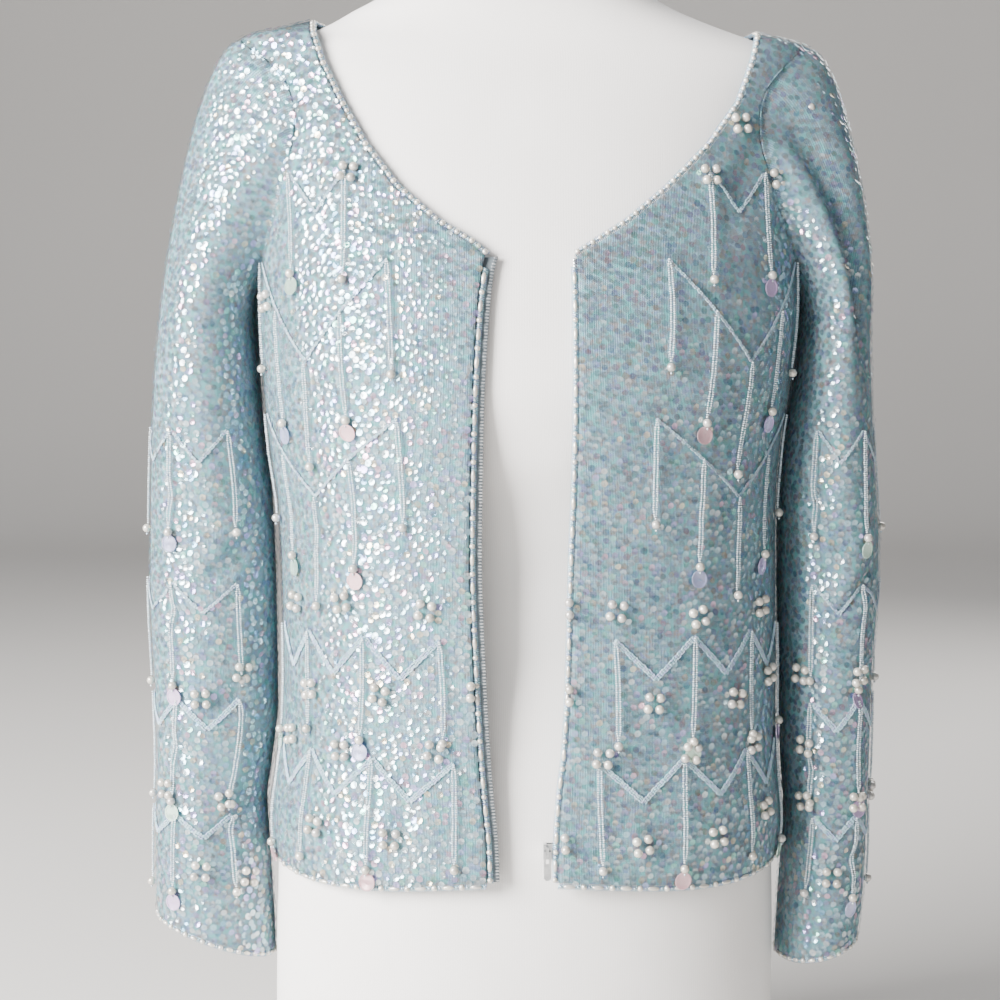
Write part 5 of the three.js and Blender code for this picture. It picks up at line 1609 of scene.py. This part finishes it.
@dataclass
class Panel:
    """One cut piece of the cardigan with all that is sewn on it. Its name is also its node's."""

    name: str
    grid: Grid
    skin: Surface
    lines: Sequence[StitchedLine]
    clusters: Sequence[tuple]
    flat: tuple[float, float]
    rests_on: str
    edges: Sequence[tuple]
    seed: int

    def build(self, shapes: SmallShapes, wardrobe: Wardrobe) -> None:
        """Builds the cloth and its trimmings.

        Args:
            shapes: The small shapes.
            wardrobe: The finishes.
        """
        cloth = wall_mesh(f"knit_{self.name}", self.grid, KNIT_WALL, wardrobe.knit)
        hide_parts(self.name)
        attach(cloth, BODY)
        beadwork = Beadwork(shapes, wardrobe, self)
        stitched = beadwork.stitching()
        loops = beadwork.loops()
        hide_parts(*[f"fringe_{self.name}_{line.name}" for line in self.lines])
        pearls, sequins = beadwork.pearls(), beadwork.sequins()
        clusters = [pearls] if pearls else []
        trims = [stitched, *loops, sequins, *clusters]
        edging = Edging(shapes, self.seed + EDGING_SEED)
        for title, node, runs in self.edges:
            scatter = Scatter()
            for path, normals, *measures in runs:
                edging.run(scatter, path, normals, *measures)
            trim = scatter.piece(title, wardrobe.pearl)
            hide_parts(node)
            trims.append(trim)
        for trim in trims:
            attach(trim, BODY)
        area = self.grid.area()
        LOG.info("%s: cloth %.4f m2, %d trims", self.name, area, len(trims))


class DressForm:
    """The limbless form that wears the cardigan."""

    COLUMNS, CLOTH_ROUND = 144, 880
    # The caps' rings, each a share of the last, and how small the last one is drawn together
    CAP_SHARES, CAP_POINT = (0.7, 0.5, 0.5), 0.01

    def build(self, wardrobe: Wardrobe) -> None:
        """Builds a smooth closed body in ribbed jersey."""
        heights = np.unique(np.concatenate([np.linspace(3, 660, 90), np.linspace(660, 785, 60),
                                            [785, 787, 789, 790]]))
        angle = np.linspace(-np.pi / 2, 1.5 * np.pi, self.COLUMNS + 1)[:-1]
        rings = [FORM_SKIN.point(height, angle) for height in (0.0, 1.5, *heights)]
        for share in self.CAP_SHARES:
            rings.insert(0, rings[0] * [share, share, 1])
            rings.append(rings[-1] * [share, share, 1])
        for end in (0, -1):
            rings[end] = rings[end] * [self.CAP_POINT, self.CAP_POINT, 1]
        rings = np.stack(rings)
        rows, columns = rings.shape[:2]
        up = np.concatenate([np.zeros((1, columns)),
                             np.cumsum(np.linalg.norm(np.diff(rings, axis=0), axis=2), 0)])
        across = np.linspace(0, self.CLOTH_ROUND, columns + 1)
        j, i = (part.ravel() for part in np.meshgrid(np.arange(rows - 1), np.arange(columns), indexing="ij"))
        faces, n = grid_quads(j, i, columns), (i + 1) % columns
        cloth = np.stack([across[i], up[j, i], across[i + 1], up[j, n], across[i + 1], up[j + 1, n],
                          across[i], up[j + 1, i]], 1).reshape(-1, 4, 2) * MM
        points = rings.reshape(-1, 3)
        # The flat ends take their cloth coordinates from above
        ends = (j <= len(self.CAP_SHARES)) | (j >= rows - 2 - len(self.CAP_SHARES))
        cloth[ends] = points[faces[ends]][:, :, :2] * MM
        piece = mesh_object("form_jersey", points, faces, wardrobe.jersey, cloth=cloth)
        bpy.ops.object.select_all(action="DESELECT")
        bpy.context.view_layer.objects.active = piece
        piece.select_set(True)
        set_mode("EDIT")
        bpy.ops.mesh.select_all(action="SELECT")
        bpy.ops.mesh.remove_doubles(threshold=0.002)
        bpy.ops.mesh.normals_make_consistent(inside=False)
        set_mode("OBJECT")
        bpy.ops.object.shade_smooth_by_angle(angle=0.7)
        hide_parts("form_torso")
        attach(piece, BODY)


@dataclass(frozen=True)
class ZipHalf:
    """One side of the open zip: its tape behind the front edge, and its teeth."""

    side: Side
    reach: float
    drop: float

    # Width under the front, columns, and the teeth's step, half sizes, inset and rise
    UNDER, COLUMNS = 9.0, 9
    TOOTH_STEP, TOOTH_SIZE, TOOTH_INSET, TOOTH_RISE = 1.9, (1.25, 0.5, 0.85), 0.9, 0.35

    def build(self, grid: Grid, shapes: SmallShapes, wardrobe: Wardrobe) -> None:
        """Builds the tape and the teeth.

        Args:
            grid: The front that the tape is sewn behind.
            shapes: The small shapes.
            wardrobe: The finishes.
        """
        word, count = self.side.word, PanelShape.BELOW + 1
        edge, normals = grid.points[:count, 0], grid.normals[:count, 0]
        inward = unit(grid.points[:count, 4] - edge)
        across = np.linspace(self.UNDER, -self.reach, self.COLUMNS)
        points = edge[:, None] + inward[:, None] * across[None, :, None] - normals[:, None] * self.drop
        facing = np.broadcast_to(normals[:, None], points.shape)
        tape = Grid(points, facing, False, np.broadcast_to(across, points.shape[:2]))
        piece = wall_mesh(f"tape_{word}", tape, TAPE_WALL, wardrobe.tape)
        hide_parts(f"zip_tape_{word}")
        line = edge - inward * (self.reach - self.TOOTH_INSET) - normals * (self.drop + self.TOOTH_RISE)
        spots, run, up = path_spots(line, normals, self.TOOTH_STEP)
        scatter = Scatter()
        scatter.add(shapes.tooth, spots, axes_along(unit(np.cross(run, up)), up), self.TOOTH_SIZE,
                    srgb(200, 200, 200))
        teeth = scatter.piece(f"teeth_{word}", wardrobe.metal, smooth=False)
        for made in (piece, teeth):
            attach(made, BODY)


class Studio:
    """Pale floor, soft lights and the camera. Lengths here are metres."""

    # A grid laid out in depth, bent up into a wall: width, length, shift, where it bends, radius
    FLOOR_WIDTH, FLOOR_LENGTH, FLOOR_AHEAD, WALL_AT, CURVE = 44, 14, 0.4, 3.4, 1.6
    WORLD_COLOUR, WORLD_STRENGTH = (0.93, 0.95, 1.0, 1), 0.28
    # Name, place, target, side, watts, colour
    LIGHTS = (("key", (-1.75, -1.25, 1.15), (0, -0.05, 0.42), 1.3, 276, (1.0, 0.985, 0.97)),
              ("front_fill", (-0.5, -2.2, 0.9), (0, 0, 0.4), 1.6, 7, (0.97, 0.98, 1.0)),
              ("back_light", (0.9, 1.6, 1.5), (0, 0, 0.45), 1.2, 26, (1.0, 0.98, 0.96)))
    CAMERA_PLACE, CAMERA_AIM = (-0.0154, -1.300, 0.513), (-0.0154, 0.0, 0.4032)
    SENSOR, LENS, NEAR = 36.0, 73.4, 0.02

    def build(self, wardrobe: Wardrobe) -> None:
        """Sets the stage."""
        self._floor(wardrobe.floor)
        world = bpy.data.worlds.new("studio")
        world.use_nodes = True
        background = world.node_tree.nodes["Background"]
        background.inputs["Color"].default_value = self.WORLD_COLOUR
        background.inputs["Strength"].default_value = self.WORLD_STRENGTH
        bpy.context.scene.world = world
        for light in self.LIGHTS:
            self._area(*light)
        data = bpy.data.cameras.new("camera")
        data.sensor_width, data.lens, data.clip_start = self.SENSOR, self.LENS, self.NEAR
        camera = self._aimed("camera", data, self.CAMERA_PLACE, self.CAMERA_AIM)
        bpy.context.scene.camera = camera

    def _floor(self, look: Material) -> None:
        """A floor that curves up into a wall behind the form."""
        bpy.ops.mesh.primitive_grid_add(x_subdivisions=4, y_subdivisions=90, size=1.0)
        floor = bpy.context.object
        floor.name = "floor"
        wall, curve = self.WALL_AT, self.CURVE
        for vertex in floor.data.vertices:
            along = vertex.co.y * self.FLOOR_LENGTH + self.FLOOR_AHEAD
            turn = min(max((along - wall) / curve, 0), np.pi / 2)
            past = max(along - wall - curve * np.pi / 2, 0)
            vertex.co = (vertex.co.x * self.FLOOR_WIDTH, min(along, wall) + curve * np.sin(turn),
                         curve * (1 - np.cos(turn)) + past)
        bpy.ops.object.shade_smooth()
        floor.data.materials.append(look)

    @staticmethod
    def _aimed(name: str, data: bpy.types.ID, place: tuple, target: tuple) -> Piece:
        """A linked camera or light that faces a target."""
        made = bpy.data.objects.new(name, data)
        bpy.context.scene.collection.objects.link(made)
        made.location = place
        made.rotation_euler = (Vector(target) - Vector(place)).to_track_quat("-Z", "Y").to_euler()
        return made

    @staticmethod
    def _area(name: str, place: tuple, target: tuple, size: float, power: float, colour: tuple) -> None:
        """One soft square light, from a row of the table."""
        data = bpy.data.lights.new(name, "AREA")
        data.size, data.energy, data.color = size, power, colour
        Studio._aimed(name, data, place, target)


# Pearl clusters: height, angle in degrees (0 at the wearer's left, 90 at the centre front), and how
# many pearls if not four
FRONT_CLUSTERS = {
    Side.LEFT: (
        (347, 71), (341, 52), (343, 30), (349, 81, 2), (291, 63), (289, 41), (297, 81, 2),
        (299, 25), (259, 74), (259, 54), (259, 34), (206, 66), (207, 48), (209, 82, 2),
        (217, 30), (635, 44), (603, 52), (603, 31)),
    Side.RIGHT: (
        (349, 133), (347, 112), (345, 152), (295, 123), (293, 145), (259, 133),
        (263, 110), (299, 102, 2), (209, 119), (211, 139), (262, 154), (605, 127), (529, 156)),
}
# The same for the back, and for the sleeves with the turn (0 inside, 90 front, 180 outer side)
BACK_CLUSTERS = tuple((height, -(12 + 20 * k + (10 if row % 2 else 0)))
                      for row, height in enumerate((347, 293, 259, 208)) for k in range(8)) + (
    (640, -48), (640, -132), (606, -62), (606, -118), (604, -36), (604, -144))
SLEEVE_CLUSTERS = {
    Side.LEFT: (
        (297, 51), (252, 56), (216, 53), (168, 89), (297, 117), (216, 121), (645, 30),
        (564, 19, 3), (297, 243), (252, 304), (216, 239), (168, 271), (297, 309),
        (216, 307), (216, 180)),
    Side.RIGHT: (
        (216, 69), (171, 95), (165, 48), (222, 134), (570, 15, 3), (282, 97), (298, 60),
        (216, 291), (171, 265), (165, 312), (222, 226), (282, 263), (298, 300)),
}
# Edging: length of a repeat, radius of its pearl, half length of its long bead
HEM_BEADS, FRONT_BEADS, NECK_BEADS, CUFF_BEADS = (
    (16.6, 1.9, 3.9), (16.6, 1.7, 3.9), (10.6, 1.85, 1.7), (12.0, 1.8, 2.6))
# Flat sizes in metres, and starts of the random numbers
FRONT_FLAT, SLEEVE_FLAT, BACK_FLAT = (0.235, 0.53), (0.285, 0.60), (0.48, 0.53)
FRONT_SEED, SLEEVE_SEED, BACK_SEED, EDGING_SEED = 100, 200, 300, 50
# How far each tape stands out beyond the front's cut edge, and how far behind its outside it lies
ZIP_HALVES = (ZipHalf(Side.LEFT, 1.6, 4.6), ZipHalf(Side.RIGHT, 7.5, 2.6))
BEVEL_WIDTH = 0.00035


def front_edges(side: Side, grid: Grid) -> list:
    """Edging runs of a front: hem, front edge and neck."""
    below = PanelShape.BELOW
    hem = edge_line(grid, np.s_[0, ::-1], np.s_[2, ::-1])
    edge = edge_line(grid, np.s_[:below, 0], np.s_[:below, 2])
    neck = edge_line(grid, np.s_[below:, 0], np.s_[below:, 2])
    return [(f"edge_beads_front_{side.word}", f"edging_front_{side.word}",
             [(*hem, *HEM_BEADS), (*edge, *FRONT_BEADS), (*neck, *NECK_BEADS)])]


def back_edges(grid: Grid) -> list:
    """Edging runs of the back: hem and neck."""
    across = np.s_[PanelShape.SEAM_COLUMNS:-PanelShape.SEAM_COLUMNS]
    hem = edge_line(grid, np.s_[0, :], np.s_[2, :])
    neck = edge_line(grid, (-1, across), (-3, across))
    return [("edge_beads_back_hem", "edging_back_hem", [(*hem, *HEM_BEADS)]),
            ("edge_beads_back_neck", "edging_back_neck", [(*neck, *NECK_BEADS)])]


def cuff_edges(side: Side, grid: Grid) -> list:
    """Edging run of a cuff."""
    down = unit(grid.points[-1] - grid.points[-3])
    rim, normals, down = (np.concatenate([part, part[:1]])
                          for part in (grid.points[-1], grid.normals[-1], down))
    return [(f"edge_beads_cuff_{side.word}", f"edging_cuff_{side.word}",
             [(rim + down * EDGING_OUT - normals * EDGING_BELOW, normals, *CUFF_BEADS)])]


def in_radians(clusters: Sequence[tuple]) -> list:
    """Pearl clusters with their angles in radians and their counts, four if none is given."""
    return [(height, np.radians(angle), *(count or (4,))) for height, angle, *count in clusters]


def sew_side(half: ZipHalf, shapes: SmallShapes, wardrobe: Wardrobe) -> None:
    """Builds one front, its half of the zip, and the sleeve beside it."""
    side = half.side
    grid = PanelShape.grid(PanelShape.front(side))
    lines = [StitchedLine.of(row, front_angle(side), BODY_LOOP) for row in BODY_LINES["front"]]
    Panel(f"front_{side.word}", grid, BODY_SKIN, lines, in_radians(FRONT_CLUSTERS[side]), FRONT_FLAT,
          "form_jersey", front_edges(side, grid), FRONT_SEED + side.value).build(shapes, wardrobe)
    half.build(grid, shapes, wardrobe)
    sleeve = SleeveShape(side)
    grid = sleeve.grid()
    lines = [StitchedLine.of(row, sleeve_turn, CUFF_LOOP if row[0] == "cuff" else BODY_LOOP)
             for row in SLEEVE_LINES]
    Panel(f"sleeve_{side.word}", grid, sleeve, lines, in_radians(SLEEVE_CLUSTERS[side]), SLEEVE_FLAT,
          f"knit_front_{side.word}", cuff_edges(side, grid), SLEEVE_SEED + side.value).build(shapes, wardrobe)


def sew_back(shapes: SmallShapes, wardrobe: Wardrobe) -> None:
    """Builds the back."""
    grid = PanelShape.grid(PanelShape.back())
    lines = [StitchedLine.of(row, back_angle, BODY_LOOP) for row in BODY_LINES["back"]]
    Panel("back", grid, BODY_SKIN, lines, in_radians(BACK_CLUSTERS), BACK_FLAT, "form_jersey",
          back_edges(grid), BACK_SEED).build(shapes, wardrobe)


def finish_metal(look: Material) -> None:
    """Gives the slider and the pull their metal and softened edges."""
    for name in ("zip_slider", "zip_pull"):
        node = bpy.data.objects[name]
        node.data.materials.clear()
        node.data.materials.append(look)
        bevel = node.modifiers.new("soft edges", "BEVEL")
        bevel.width, bevel.segments, bevel.limit_method = BEVEL_WIDTH, 2, "ANGLE"


def main() -> None:
    """Builds every piece and puts it on its body."""
    logging.basicConfig(level=logging.INFO, format="%(name)s: %(message)s")
    bpy.ops.object.select_all(action="DESELECT")
    wardrobe = Wardrobe()
    Studio().build(wardrobe)
    shapes = SmallShapes()
    LOG.info("small shapes ready")
    DressForm().build(wardrobe)
    for half in ZIP_HALVES:
        sew_side(half, shapes, wardrobe)
    sew_back(shapes, wardrobe)
    finish_metal(wardrobe.metal)


if __name__ == "__main__":
    main()
